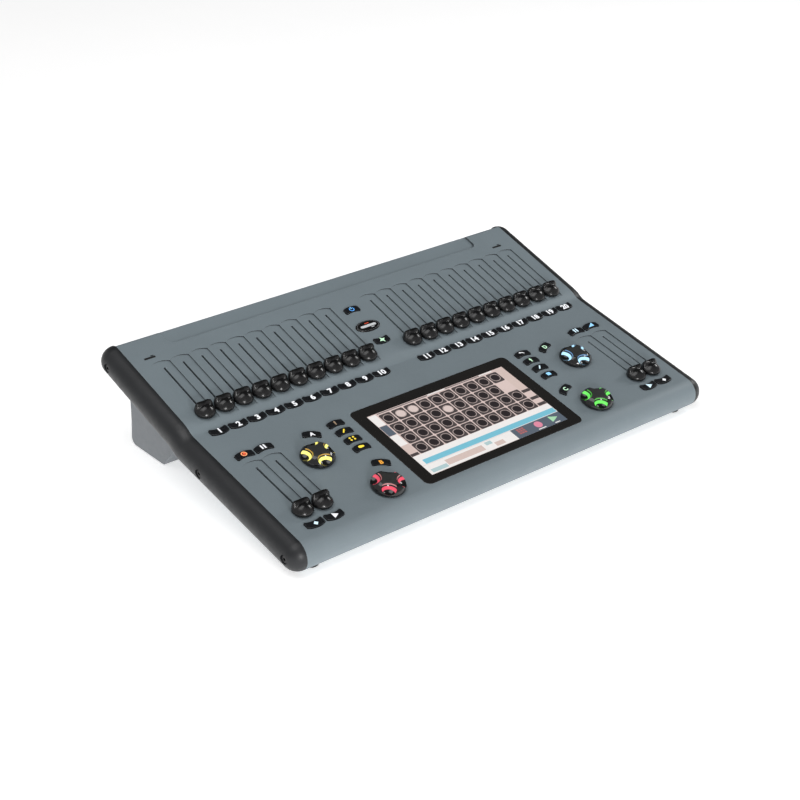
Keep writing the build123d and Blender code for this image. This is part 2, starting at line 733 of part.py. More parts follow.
def main_board():
    low = housing_floor + housing_wall + main_board_lift
    board = Box(*main_board_size, board_thickness, align=standing)
    board = Pos(*at((main_board_y, low), main_board_x)) * board
    chips = (
        (-60, 2, 16, 16, 2.0),
        (-25, -6, 22, 22, 4.0),
        (20, -8, 12, 9, 1.6),
        (45, -8, 12, 9, 1.6),
        (72, 0, 9, 9, 8.0),
    )
    for x, y, wide, deep, tall in chips:
        chip = Box(wide, deep, tall, align=standing)
        board = board + Pos(*at((main_board_y + y, low + board_thickness), main_board_x + x)) * chip
    return board


def power_supply():
    supply = Box(*supply_size, align=(Align.CENTER, Align.MAX, Align.MIN))
    supply = fillet(supply.edges().filter_by(Axis.Z), supply_corner)
    return Pos(*at((plate_inner - supply_gap, housing_floor + housing_wall), supply_x)) * supply


# ---- rear panel -----------------------------------------------------------
def behind(x, z=socket_row):
    """Frame on the outer face of the connector plate, its Z pointing out to the rear."""
    return Plane(origin=(x, plate_face + place_y, z), x_dir=(-1, 0, 0), z_dir=(0, 1, 0))


def well(size, depth, grow=0.0):
    return Box(size[0] + 2 * grow, size[1] + 2 * grow, depth, align=hanging)


def rear_plate():
    low = housing_floor + housing_wall + seam_gap
    top = depth_points(panel_wall + tray_depth)["top"]
    high = top[1] + (plate_inner - top[0]) * tan(radians(rear_tilt)) - seam_gap
    narrow = 2 * (housing_side - housing_wall - seam_gap)
    wide = panel_width - 2 * plate_wall - 2 * seam_gap
    shoulder = under_height(plate_face) + seam_gap
    plate = Pos(0, plate_inner + place_y, low + place_z) * Box(
        narrow, plate_wall, shoulder - low + 1, align=(Align.CENTER, Align.MIN, Align.MIN))
    plate = plate + Pos(0, plate_inner + place_y, shoulder + place_z) * Box(
        wide, plate_wall, high - shoulder, align=(Align.CENTER, Align.MIN, Align.MIN))
    cuts = [behind(x) * Pos(0, 0, 5) * Cylinder(dmx_bore / 2 + hole_clearance, 20) for x in dmx_positions]
    cuts.append(behind(network_x) * Pos(0, 0, 5) * well(network_size, 20, hole_clearance))
    for x in usb_positions:
        cuts.append(behind(x) * Pos(0, 0, 5) * well(usb_size, 20, hole_clearance))
    cuts.append(behind(video_x) * Pos(0, 0, 5) * well(video_size, 20, hole_clearance))
    cuts.append(behind(inlet_x) * Pos(0, 0, 5) * well(inlet_size, 20, hole_clearance))
    sleeve_hole = well(rocker_size, 20, rocker_sleeve_wall + hole_clearance)
    cuts.append(behind(rocker_x) * Pos(0, 0, 5) * sleeve_hole)
    for x, z in case_screw_places:
        cuts.append(behind(x, z) * Cylinder(case_screw_diameter / 2 + hole_clearance / 2, 20))
    return plate.cut(*cuts)


case_screw_low = foot_height + housing_wall + case_screw_edge
case_screw_high = under_height(plate_face) + place_z + case_screw_lift
case_screw_places = [(x, case_screw_low) for x in case_screw_low_x]
case_screw_places += [(x, case_screw_high) for x in case_screw_high_x]


def case_screws():
    screws = []
    for x, z in case_screw_places:
        head = Cylinder(case_screw_head / 2, case_screw_head_height, align=standing)
        head = fillet(head.edges().sort_by(Axis.Z)[-1], head_edge_radius)
        long, thin, deep = cross_slot
        cross = Box(long, thin, 2 * deep) + Box(thin, long, 2 * deep)
        head = head - Pos(0, 0, case_screw_head_height) * cross
        shank = Cylinder(case_screw_diameter / 2, plate_wall + screw_bite, align=hanging)
        screws.append(behind(x, z) * (head + shank))
    return Compound(children=screws)


def dmx_socket():
    """Five-pole socket on a square flange."""
    flange = Box(*dmx_flange, 1.8, align=standing)
    flange = fillet(flange.edges().filter_by(Axis.Z), 3.0)
    barrel = Cylinder(dmx_bore / 2, plate_wall + 20, align=hanging)
    ring = Cylinder(dmx_bore / 2 - 0.8, 3.4, align=standing)
    groove = Cylinder(9.6, 4.0) - Cylinder(8.2, 8.0)
    body = flange + barrel + ring - Pos(0, 0, 3.4) * groove
    for n in range(5):
        pole = Cylinder(1.3, 9.0, align=hanging)
        body = body - Rot(0, 0, -30 + 60 * n) * Pos(5.4, 0, 3.4) * pole
    for x, y in ((-9.5, 12.0), (9.5, -12.0)):
        body = body - Pos(x, y, 0) * Cylinder(1.6, 8)
    return body


def open_socket(size, wall, tongue=None):
    shell = Box(size[0], size[1], size[2], align=hanging)
    hollow = Box(size[0] - 2 * wall, size[1] - 2 * wall, size[2] - 2, align=hanging)
    body = Pos(0, 0, 0.6) * (shell - hollow)
    if tongue:
        lip = Box(*tongue, size[2] - 1.5, align=hanging)
        body = body + Pos(0, 0, -0.6) * lip
    return body


def data_sockets():
    sockets = [behind(network_x) * open_socket(network_size, 1.4)]
    sockets += [behind(x) * open_socket(usb_size, 0.7, (10.5, 1.8)) for x in usb_positions]
    sockets.append(behind(video_x) * open_socket(video_size, 0.8, (11.5, 1.6)))
    return Compound(children=sockets)


def power_inlet():
    """Mains inlet with three blades, and the frame of the power switch beside it."""
    side, edge, thick = inlet_flange
    flange = Box(inlet_size[0] + 2 * side, inlet_size[1] + 2 * edge, thick, align=standing)
    flange = fillet(flange.edges().filter_by(Axis.Z), 3.0)
    body = flange + Box(*inlet_size, plate_wall + 17, align=hanging)
    cavity = Box(inlet_cavity[0], inlet_cavity[1], inlet_cavity[2], align=hanging)
    cavity = chamfer(cavity.edges().filter_by(Axis.Z).sort_by(Axis.Y)[-2:], 4.0)
    body = body - Pos(0, 0, thick) * cavity
    for x, y in ((-7.0, -2.6), (7.0, -2.6), (0.0, 1.4)):
        blade = Box(2.0, 4.0, 11.0, align=standing)
        body = body + Pos(x, y, thick - inlet_cavity[2]) * blade
    return behind(inlet_x) * body


def switch_frame():
    bezel = (rocker_size[0] + 2 * rocker_bezel, rocker_size[1] + 2 * rocker_bezel)
    outer = Box(*bezel, 1.6, align=standing)
    outer = fillet(outer.edges().filter_by(Axis.Z), 1.5)
    around = (rocker_size[0] + 2 * rocker_sleeve_wall, rocker_size[1] + 2 * rocker_sleeve_wall)
    sleeve = Box(*around, plate_wall + rocker_depth + 5, align=hanging)
    body = outer + sleeve
    hollow = Box(rocker_size[0], rocker_size[1], rocker_depth + 3.6, align=hanging)
    return behind(rocker_x) * (body - Pos(0, 0, 1.6) * hollow)


def rocker():
    """Rocker with a shallow valley, at rest with its lower half pressed in."""
    half = rocker_size[1] / 2 - 3 * part_gap
    outline = make_face([
        Line((-half, 4.2), (0, 2.6)),
        Line((0, 2.6), (half, 4.2)),
        Line((half, 4.2), (half, -1.0)),
        Line((half, -1.0), (3.0, -5.0)),
        Line((3.0, -5.0), (-3.0, -5.0)),
        Line((-3.0, -5.0), (-half, -1.0)),
        Line((-half, -1.0), (-half, 4.2)),
    ])
    body = extrude(Plane.YZ * outline, rocker_size[0] / 2 - part_gap, dir=(1, 0, 0), both=True)
    body = fillet(body.edges().filter_by(Axis.X).group_by(Axis.Z)[-1], 0.8)
    tilt = Pos(0, 0, rocker_axis) * Rot(rocker_swing / 2, 0, 0) * Pos(0, 0, -rocker_axis)
    return behind(rocker_x) * tilt * body


# ---- feet -----------------------------------------------------------------
def feet():
    pads = []
    body = slab(0, shell_depth, rear_face, panel_width)
    for side in (-1, 1):
        pad = Cylinder(foot_diameter / 2, 3 * foot_height, align=standing)
        pad = chamfer(pad.edges().sort_by(Axis.Z)[0], 0.5)
        pads.append(Pos(side * (half_width - front_foot_inset), place_y + 1.5, 0) * pad - body)
        for depth in rear_foot_rows:
            pad = Cylinder(foot_diameter / 2, foot_height, align=standing)
            pad = chamfer(pad.edges().sort_by(Axis.Z)[0], 0.5)
            place = (side * (housing_side - rear_foot_inset), housing_front + depth + place_y, 0)
            pads.append(Pos(*place) * pad)
    return Compound(children=pads)


# ---- the desk -------------------------------------------------------------
def fader(plane, x, s):
    return on(plane, x, s) * Compound(children=[cap_shape, lever_shape])


def build():
    nodes = {
        "top_panel": top_panel(),
        "bottom_pan": bottom_pan(),
        "rear_housing": rear_housing(),
        "rear_plate": rear_plate(),
        "left_cheek": left_cheek(),
        "right_cheek": mirror(left_cheek(), about=Plane.YZ),
        "cheek_screws": Compound(
            children=[cheek_screw(side, p) for side in (-1, 1) for p in cheek_screw_places]
        ),
        "case_screws": case_screws(),
        "screen_lens": screen_lens(),
        "display_module": display_module(),
        "badge": badge(),
        "panel_boards": Compound(children=[control_board(), fader_board()]),
        "main_board": main_board(),
        "power_supply": power_supply(),
        "fader_rails": Compound(
            children=[on(*place) * rail_shape for place in fader_places + playback_places]
        ),
        "encoder_bases": Compound(
            children=[on(front_plane, x, s) * encoder_base() for x, s in encoder_places]
        ),
        "dmx_sockets": Compound(children=[behind(x) * dmx_socket() for x in dmx_positions]),
        "data_sockets": data_sockets(),
        "power_inlet": Compound(children=[power_inlet(), switch_frame()]),
        "power_switch_rocker": rocker(),
        "feet": feet(),
    }
    knob_turns = (outer_knob_turn, inner_knob_turn) * 2
    for n, (x, s) in enumerate(encoder_places):
        nodes[f"encoder_knob_{n + 1}"] = on(front_plane, x, s) * encoder_knob(knob_turns[n])
    for n, place in enumerate(fader_places):
        nodes[f"submaster_fader_{n + 1:02d}"] = fader(*place)
    for n, place in enumerate(playback_places):
        nodes[f"playback_fader_{n + 1}"] = fader(*place)
    for name, places in key_groups.items():
        nodes[name] = key_group(places)
    return nodes


os.makedirs("parts", exist_ok=True)
for name, shape in build().items():
    export_step(shape, f"parts/{name}.step")
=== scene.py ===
import json
import math

import bmesh
import bpy
from bpy.props import FloatProperty, FloatVectorProperty, IntProperty, PointerProperty
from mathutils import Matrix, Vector


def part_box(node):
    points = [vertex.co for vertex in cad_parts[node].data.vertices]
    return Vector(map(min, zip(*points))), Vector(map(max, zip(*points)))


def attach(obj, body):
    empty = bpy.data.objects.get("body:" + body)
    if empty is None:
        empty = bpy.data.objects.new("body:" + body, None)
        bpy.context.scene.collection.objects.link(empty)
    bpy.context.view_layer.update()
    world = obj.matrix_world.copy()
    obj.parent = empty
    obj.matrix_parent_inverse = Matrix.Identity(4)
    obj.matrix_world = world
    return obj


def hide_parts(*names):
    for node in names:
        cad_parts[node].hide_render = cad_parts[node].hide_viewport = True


bl_info = {
    "name": "Lighting Control Desk",
    "version": (1, 0, 0),
    "blender": (4, 5, 0),
    "location": "3D View > Sidebar > Desk",
    "description": "Finishes, knobs, fader caps, key marks, screen and sockets of a lighting control desk",
    "category": "Object",
}

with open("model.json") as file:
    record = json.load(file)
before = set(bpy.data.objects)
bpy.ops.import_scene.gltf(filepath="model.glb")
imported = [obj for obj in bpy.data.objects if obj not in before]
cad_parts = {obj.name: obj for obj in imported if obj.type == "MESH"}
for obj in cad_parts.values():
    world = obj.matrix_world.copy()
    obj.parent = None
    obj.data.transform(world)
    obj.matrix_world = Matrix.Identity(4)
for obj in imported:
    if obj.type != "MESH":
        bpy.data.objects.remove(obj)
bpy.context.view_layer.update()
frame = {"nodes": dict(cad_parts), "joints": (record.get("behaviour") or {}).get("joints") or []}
MM = 0.001
JOINTS = {joint["name"]: joint for joint in frame["joints"]}


# ---- the two flats of the panel ----------------------------------------------
def spread(node, direction):
    """Least and greatest reach of a node along a direction, in metres."""
    reach = [v.co.dot(direction) for v in frame["nodes"][node].data.vertices]
    return min(reach), max(reach)


class Flat:
    """A flat of the top panel: x across it, s up its slope and h square to it, in millimetres."""

    def __init__(self, square, along):
        self.square = Vector(square).normalized()
        self.along = Vector(along).normalized()
        mesh = frame["nodes"]["top_panel"].data
        facing = [p for p in mesh.polygons if p.normal.dot(self.square) > 0.99999]
        self.height = max(p.center.dot(self.square) for p in facing)
        on_top = [p for p in facing if abs(p.center.dot(self.square) - self.height) < 0.01 * MM]
        self.start = min(mesh.vertices[i].co.dot(self.along) for p in on_top for i in p.vertices)

    def point(self, x, s, h=0.0):
        up_slope = self.along * (self.start + s * MM)
        return Vector((x * MM, 0, 0)) + up_slope + self.square * (self.height + h * MM)

    def middle(self, node):
        """Where a node's middle is up the slope."""
        low, high = spread(node, self.along)
        return ((low + high) / 2 - self.start) / MM

    def of(self, position):
        """The x and s of a point, in metres."""
        spot = Vector(position)
        return spot.x / MM, (spot.dot(self.along) - self.start) / MM

    def top(self, node):
        return (spread(node, self.square)[1] - self.height) / MM

    def spot(self, x, s, turn=0.0):
        """Placing function for a shape drawn round a point of the flat."""
        c, d = math.cos(turn), math.sin(turn)
        return lambda u, v, h=0.0: self.point(x + u * c - v * d, s + u * d + v * c, h)


FRONT = Flat(JOINTS["encoder_1"]["axis"], JOINTS["playback_1"]["axis"])
BANK = Flat([-c for c in JOINTS["power_key_press"]["axis"]], JOINTS["submaster_01"]["axis"])


def middle_x(node):
    low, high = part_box(node)
    return (low[0] + high[0]) / 2 / MM


def across(node, count):
    """Middles of a row of like keys, left to right."""
    low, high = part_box(node)
    half = (high[0] - low[0]) / 2 / MM
    edge = sizes().key_reach / 2
    centre = middle_x(node)
    step = 2 * (half - edge) / (count - 1)
    return [centre - half + edge + n * step for n in range(count)]


def sizes():
    return bpy.context.scene.desk_sizes


def colours():
    return bpy.context.scene.desk_colours


# ---- what a user would change ------------------------------------------------
def millimetres(name, description, default):
    return FloatProperty(name=name, description=description, default=default, min=0.0)


def colour(name, description, default):
    return FloatVectorProperty(name=name, description=description, default=default, size=3,
                               min=0.0, max=1.0, subtype="COLOR")


class DeskSizes(bpy.types.PropertyGroup):
    cap_radius: millimetres("Cap radius", "Radius of a fader cap, in millimetres", 9.1)
    cap_height: millimetres("Cap height", "Height of a fader cap at its two horns, in millimetres", 9.4)
    cap_lift: millimetres("Cap lift", "Underside of a cap above the panel, in millimetres", 1.0)
    knob_radius: millimetres("Knob radius", "Radius of an encoder knob, in millimetres", 15.0)
    knob_height: millimetres("Knob height", "Height of an encoder knob, in millimetres", 8.6)
    knob_lift: millimetres("Knob lift", "Underside of a knob above the panel, in millimetres", 0.8)
    scallop_radius: millimetres("Scallop radius", "Radius of a knob's round scallops, in millimetres", 8.5)
    scallop_floor: millimetres("Scallop floor", "Scallops above the knob's foot, in millimetres", 2.1)
    glow_radius: millimetres("Crescent radius", "Outer radius of a lit crescent, in millimetres", 6.8)
    glow_width: millimetres("Crescent width", "Width of a lit crescent, in millimetres", 1.75)
    key_reach: millimetres("Key reach", "Width of a numbered key with its hidden lip, in millimetres", 18.4)
    number_height: millimetres("Number height", "Height of the numbers on the keys, in millimetres", 5.9)
    mark_thickness: millimetres("Mark thickness", "How far a printed mark stands up, in millimetres", 0.05)
    encoder_key_turn: FloatProperty(
        name="Encoder key turn", description="Turn of the keys above the encoders",
        default=math.radians(28), subtype="ANGLE")
    columns: IntProperty(name="Tile columns", description="Columns of tiles on the screen", default=10, min=1)
    rows: IntProperty(name="Tile rows", description="Rows of tiles on the screen", default=4, min=1)


class DeskColours(bpy.types.PropertyGroup):
    panel: colour("Panel", "Powder coat of the top panel", (0.193, 0.235, 0.258))
    housing: colour("Housing", "Powder coat of the rear housing", (0.2, 0.215, 0.23))
    cheek: colour("Cheeks", "Moulded end cheeks", (0.011, 0.012, 0.014))
    gloss: colour("Gloss black", "Knobs and fader caps", (0.005, 0.005, 0.0055))
    key: colour("Keys", "Key caps", (0.006, 0.007, 0.009))
    floor: colour("Floor", "Studio floor", (0.93, 0.93, 0.93))


# ---- finishes ----------------------------------------------------------------
class Finish:
    """A node material that is built up from grain, clouds, edges painted lighter as wear and highlight, and
    painted crease shade, at sizes in millimetres.
    """

    def __init__(self, name, base, rough, metal=0.0):
        self.mat = bpy.data.materials.new(name)
        self.mat.use_nodes = True
        self.nodes = self.mat.node_tree.nodes
        self.shader = self.nodes["Principled BSDF"]
        self.base = (*base, 1.0)
        self.shader.inputs["Base Color"].default_value = self.base
        self.shader.inputs["Roughness"].default_value = rough
        self.shader.inputs["Metallic"].default_value = metal
        self.mat.diffuse_color = self.base
        self.place = self.nodes.new("ShaderNodeTexCoord").outputs["Object"]

    def link(self, output, target):
        self.mat.node_tree.links.new(output, target)

    def noise(self, size, detail=3.0, rough=0.55):
        node = self.nodes.new("ShaderNodeTexNoise")
        node.inputs["Scale"].default_value = 1 / (size * MM)
        node.inputs["Detail"].default_value = detail
        node.inputs["Roughness"].default_value = rough
        self.link(self.place, node.inputs["Vector"])
        return node.outputs["Fac"]

    def ramp(self, source, low, high, to_low, to_high):
        node = self.nodes.new("ShaderNodeMapRange")
        for name, value in (("From Min", low), ("From Max", high), ("To Min", to_low), ("To Max", to_high)):
            node.inputs[name].default_value = value
        self.link(source, node.inputs["Value"])
        return node.outputs["Result"]

    def mix(self, factor, first, second):
        """Colour between two, each a colour or an output."""
        node = self.nodes.new("ShaderNodeMix")
        node.data_type = "RGBA"
        self.link(factor, node.inputs["Factor"])
        for socket, value in ((node.inputs[6], first), (node.inputs[7], second)):
            if isinstance(value, bpy.types.NodeSocket):
                self.link(value, socket)
            else:
                socket.default_value = value
        return node.outputs[2]

    def clouds(self, size, amount):
        """Slow drift of the colour, lighter and darker."""
        fade = self.ramp(self.noise(size, 4.0), 0.3, 0.7, 0.0, 1.0)
        dark = tuple(c * (1 - amount) for c in self.base[:3]) + (1.0,)
        light = tuple(min(1.0, c * (1 + amount)) for c in self.base[:3]) + (1.0,)
        self.tint = self.mix(fade, dark, light)
        self.link(self.tint, self.shader.inputs["Base Color"])
        return self

    def gloss(self, size, low, high):
        """Roughness that wanders between two values."""
        self.link(self.ramp(self.noise(size, 5.0), 0.3, 0.7, low, high), self.shader.inputs["Roughness"])
        return self

    def grain(self, size, depth, strength=1.0, detail=2.0):
        """Fine bumps of the surface."""
        bump = self.nodes.new("ShaderNodeBump")
        bump.inputs["Strength"].default_value = strength
        bump.inputs["Distance"].default_value = depth * MM
        self.link(self.noise(size, detail), bump.inputs["Height"])
        self.link(bump.outputs["Normal"], self.shader.inputs["Normal"])
        return self

    def worn_and_highlit_edges(self, width, wear_and_highlight, amount):
        """Edges painted lighter, partly as rubbed wear and partly as a painted highlight, found where a
        rounded normal leaves the real one.
        """
        bevel = self.nodes.new("ShaderNodeBevel")
        bevel.samples = 4
        bevel.inputs["Radius"].default_value = width * MM
        true_normal = self.nodes.new("ShaderNodeNewGeometry").outputs["Normal"]
        dot = self.nodes.new("ShaderNodeVectorMath")
        dot.operation = "DOT_PRODUCT"
        self.link(bevel.outputs["Normal"], dot.inputs[0])
        self.link(true_normal, dot.inputs[1])
        edge = self.ramp(dot.outputs["Value"], 0.995, 0.8, 0.0, amount)
        self.tint = self.mix(edge, self.tint, (*wear_and_highlight, 1.0))
        self.link(self.tint, self.shader.inputs["Base Color"])
        return self

    def painted_crease_shade(self, reach, dark, amount):
        """Inner corners darkened with painted shade."""
        shade = self.nodes.new("ShaderNodeAmbientOcclusion")
        shade.samples = 6
        shade.only_local = True
        shade.inputs["Distance"].default_value = reach * MM
        depth = self.ramp(shade.outputs["AO"], 0.45, 0.95, amount, 0.0)
        self.tint = self.mix(depth, self.tint, (*dark, 1.0))
        self.link(self.tint, self.shader.inputs["Base Color"])
        return self

    def speckle(self, size, light, amount):
        """Fine pigment specks of a textured coat."""
        specks = self.ramp(self.noise(size, 1.0), 0.62, 0.72, 0.0, amount)
        self.tint = self.mix(specks, self.tint, (*light, 1.0))
        self.link(self.tint, self.shader.inputs["Base Color"])
        return self

    def clear_coat(self, weight, rough):
        self.shader.inputs["Coat Weight"].default_value = weight
        self.shader.inputs["Coat Roughness"].default_value = rough
        return self

    def glow(self, light, strength):
        """Light of a lit mark, a little uneven as behind a diffuser."""
        haze = self.ramp(self.noise(2.5, 2.0), 0.3, 0.7, 0.85, 1.0)
        dim = tuple(c * 0.7 for c in light) + (1.0,)
        self.link(self.mix(haze, dim, (*light, 1.0)), self.shader.inputs["Emission Color"])
        self.shader.inputs["Emission Strength"].default_value = strength
        return self


def powder_coat():
    f = Finish("powder_coat", colours().panel, 0.5)
    f.clouds(40, 0.03).speckle(0.35, (0.3, 0.35, 0.38), 0.35)
    # edges painted lighter, partly as wear and partly as a painted highlight; inner corners darkened with
    # painted shade
    f.worn_and_highlit_edges(0.4, (0.45, 0.51, 0.55), 0.7).painted_crease_shade(2.2, (0.008, 0.01, 0.013), 1.0)
    return f.gloss(6, 0.44, 0.56).grain(0.45, 0.05, 0.5)


def housing_coat():
    f = Finish("housing_coat", colours().housing, 0.52)
    f.clouds(35, 0.04).speckle(0.35, (0.3, 0.32, 0.34), 0.3)
    # edges painted lighter, partly as wear and partly as a painted highlight
    return f.worn_and_highlit_edges(0.4, (0.4, 0.42, 0.44), 0.5).gloss(6, 0.46, 0.6).grain(0.45, 0.05, 0.5)


def cheek_plastic():
    f = Finish("cheek_plastic", colours().cheek, 0.42)
    return f.clouds(18, 0.12).gloss(5, 0.36, 0.5).grain(0.5, 0.06, 0.6)


def gloss_black():
    f = Finish("gloss_black", colours().gloss, 0.16)
    return f.clouds(6, 0.15).gloss(8, 0.14, 0.2).grain(4, 0.006, 0.2).clear_coat(0.3, 0.06)


def cap_black():
    f = Finish("cap_black", colours().gloss, 0.24)
    return f.clouds(5, 0.2).gloss(6, 0.2, 0.27).grain(0.5, 0.002, 0.2)


def key_black():
    f = Finish("key_black", colours().key, 0.3)
    return f.clouds(4, 0.2).gloss(1.5, 0.24, 0.42).grain(0.6, 0.03, 0.7)


def screen_glass():
    f = Finish("screen_glass", (0.012, 0.011, 0.010), 0.12)
    return f.clouds(60, 0.2).gloss(30, 0.09, 0.16).grain(20, 0.004, 0.3).clear_coat(0.5, 0.04)


def plain(name, base, rough, metal, clouds, gloss, grain):
    """Finish with clouds, wandering gloss and grain only."""
    return Finish(name, base, rough, metal).clouds(*clouds).gloss(*gloss).grain(*grain)


def lit(name, light, strength):
    """Finish of a lit mark in one colour, also used for the painted reflections in the knob scallops."""
    body = tuple(c * 0.5 for c in light)
    return Finish(name, body, 0.35).clouds(2, 0.1).gloss(1.5, 0.29, 0.43).glow(light, strength)


def shown(name, light):
    """Finish of a field on the display, under its polished cover."""
    body = tuple(c * 0.25 for c in light)
    return Finish(name, body, 0.22).clouds(6, 0.05).gloss(12, 0.18, 0.26).glow(light, 0.7)


PAINTED = {
    "powder_coat": powder_coat,
    "housing_coat": housing_coat,
    "cheek_plastic": cheek_plastic,
    "gloss_black": gloss_black,
    "cap_black": cap_black,
    "key_black": key_black,
    "screen_glass": screen_glass,
}
# colour, roughness, metal, then the clouds, gloss and grain of the finish
PLAIN = {
    "knob_top": ((0.02, 0.021, 0.02), 0.55, 0.0, (4, 0.2), (2, 0.48, 0.62), (0.5, 0.03, 0.6)),
    "black_steel": ((0.02, 0.02, 0.021), 0.35, 0.6, (2, 0.2), (1.0, 0.28, 0.45), (0.4, 0.02, 0.5)),
    "plated_steel": ((0.55, 0.55, 0.56), 0.3, 1.0, (8, 0.08), (3, 0.24, 0.4), (0.8, 0.01, 0.4)),
    "socket_plastic": ((0.018, 0.018, 0.019), 0.45, 0.0, (6, 0.15), (2, 0.38, 0.52), (0.4, 0.02, 0.5)),
    "foot_rubber": ((0.016, 0.016, 0.016), 0.8, 0.0, (5, 0.15), (2, 0.72, 0.88), (0.5, 0.04, 0.7)),
    "board_laminate": ((0.02, 0.11, 0.05), 0.4, 0.0, (8, 0.2), (3, 0.32, 0.5), (0.6, 0.02, 0.4)),
    "folded_metal": ((0.5, 0.51, 0.52), 0.4, 0.9, (12, 0.06), (4, 0.34, 0.5), (1.0, 0.01, 0.4)),
    "printed_white": ((0.7, 0.72, 0.74), 0.45, 0.0, (2, 0.06), (1, 0.4, 0.55), (0.4, 0.01, 0.4)),
    "printed_black": ((0.012, 0.012, 0.012), 0.45, 0.0, (2, 0.1), (1, 0.4, 0.55), (0.4, 0.01, 0.4)),
    "badge_ring": ((0.5, 0.52, 0.54), 0.28, 0.8, (3, 0.1), (1, 0.22, 0.36), (0.5, 0.005, 0.3)),
}
# colour of the light and its strength
LIT = {
    "lit_white": ((0.9, 0.92, 0.95), 0.75),
    "lit_yellow": ((0.95, 0.72, 0.06), 0.9),
    "lit_amber": ((0.85, 0.38, 0.05), 0.8),
    "lit_warm": ((0.42, 0.3, 0.2), 0.7),
    "lit_red": ((0.95, 0.1, 0.04), 0.9),
    "lit_orange": ((0.95, 0.35, 0.15), 0.9),
    "lit_blue": ((0.1, 0.38, 0.9), 0.9),
    "lit_sky": ((0.3, 0.65, 0.95), 0.9),
    "lit_ice": ((0.65, 0.85, 0.95), 0.9),
    "lit_mint": ((0.55, 0.85, 0.6), 0.8),
    "glow_yellow": ((0.92, 0.85, 0.2), 1.0),
    "glow_red": ((0.72, 0.07, 0.12), 0.85),
    "glow_blue": ((0.42, 0.74, 0.98), 1.0),
    "glow_green": ((0.13, 0.72, 0.1), 0.9),
    # painted reflections of the knob crescents in their scallop walls, glowing where there is no lamp
    "painted_reflection_yellow": ((0.5, 0.3, 0.05), 0.8),
    "painted_reflection_red": ((0.45, 0.2, 0.2), 0.8),
    "painted_reflection_blue": ((0.12, 0.25, 0.45), 0.8),
    "painted_reflection_green": ((0.08, 0.4, 0.06), 0.8),
}
# colour of the field
SHOWN = {
    "shown_blank": (0.8, 0.64, 0.6),
    "shown_white": (0.98, 0.95, 0.93),
    "shown_slate": (0.12, 0.15, 0.19),
    "shown_tile": (0.085, 0.07, 0.07),
    "shown_rim": (0.62, 0.5, 0.47),
    "shown_ring": (0.22, 0.19, 0.19),
    "shown_core": (0.028, 0.022, 0.024),
    "shown_lamp": (0.8, 0.66, 0.62),
    "shown_blue": (0.22, 0.6, 0.75),
    "shown_peach": (0.75, 0.6, 0.55),
    "shown_aqua": (0.5, 0.68, 0.7),
    "shown_red": (0.5, 0.16, 0.16),
    "shown_pink": (0.85, 0.3, 0.42),
    "shown_green": (0.45, 0.8, 0.5),
}


def make_finish(name):
    if name in LIT:
        return lit(name, *LIT[name])
    if name in SHOWN:
        return shown(name, SHOWN[name])
    if name in PLAIN:
        return plain(name, *PLAIN[name])
    return PAINTED[name]()


_made = {}


def finish(name):
    """The material of this name, made once."""
    if name not in _made:
        _made[name] = make_finish(name).mat
    return _made[name]


def coat_node(node, name):
    """Gives a node of the frame its finish."""
    slots = frame["nodes"][node].data.materials
    slots.clear()
    slots.append(finish(name))


# ---- mesh work ---------------------------------------------------------------
def add_piece(name, mesh, finishes, body, smooth=None):
    """Turns a bmesh into a piece that rides a body, with its edges shaded smooth below an angle."""
    data = bpy.data.meshes.new(name)
    bmesh.ops.recalc_face_normals(mesh, faces=mesh.faces)
    if smooth is not None:
        for face in mesh.faces:
            face.smooth = True
        for edge in mesh.edges:
            if len(edge.link_faces) == 2 and edge.calc_face_angle(0.0) > smooth:
                edge.smooth = False
    mesh.to_mesh(data)
    mesh.free()
    for finish_name in finishes:
        data.materials.append(finish(finish_name))
    piece = bpy.data.objects.new(name, data)
    bpy.context.scene.collection.objects.link(piece)
    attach(piece, body)
    return piece


def skin(mesh, loops):
    """Faces between neighbouring closed loops of points."""
    for lower, upper in zip(loops, loops[1:]):
        for n in range(len(lower)):
            m = (n + 1) % len(lower)
            mesh.faces.new((lower[n], lower[m], upper[m], upper[n]))


def plate(mesh, outline, low, high, spot, material=0):
    """Closed plate between two heights, from an outline drawn anticlockwise."""
    bottom = [mesh.verts.new(spot(u, v, low)) for u, v in outline]
    top = [mesh.verts.new(spot(u, v, high)) for u, v in outline]
    faces = [mesh.faces.new(top), mesh.faces.new(bottom[::-1])]
    for n in range(len(outline)):
        m = (n + 1) % len(outline)
        faces.append(mesh.faces.new((bottom[n], bottom[m], top[m], top[n])))
    for face in faces:
        face.material_index = material


def hoop(mesh, middle, inner, outer, low, high, spot, material=0, steps=40, squash=1.0):
    """Closed ring; squash flattens it into an oval."""
    loops = []
    for radius, h in ((inner, low), (outer, low), (outer, high), (inner, high)):
        loops.append([mesh.verts.new(spot(u, v, h)) for u, v in disc(middle, radius, steps, squash)])
    for n in range(steps):
        m = (n + 1) % steps
        for k in range(4):
            a, b = loops[k], loops[(k + 1) % 4]
            mesh.faces.new((a[n], a[m], b[m], b[n])).material_index = material


def disc(middle, radius, steps=28, squash=1.0):
    """Outline of a round or oval plate."""
    turns = [2 * math.pi * n / steps for n in range(steps)]
    return [(middle[0] + radius * math.cos(a), middle[1] + radius * squash * math.sin(a)) for a in turns]


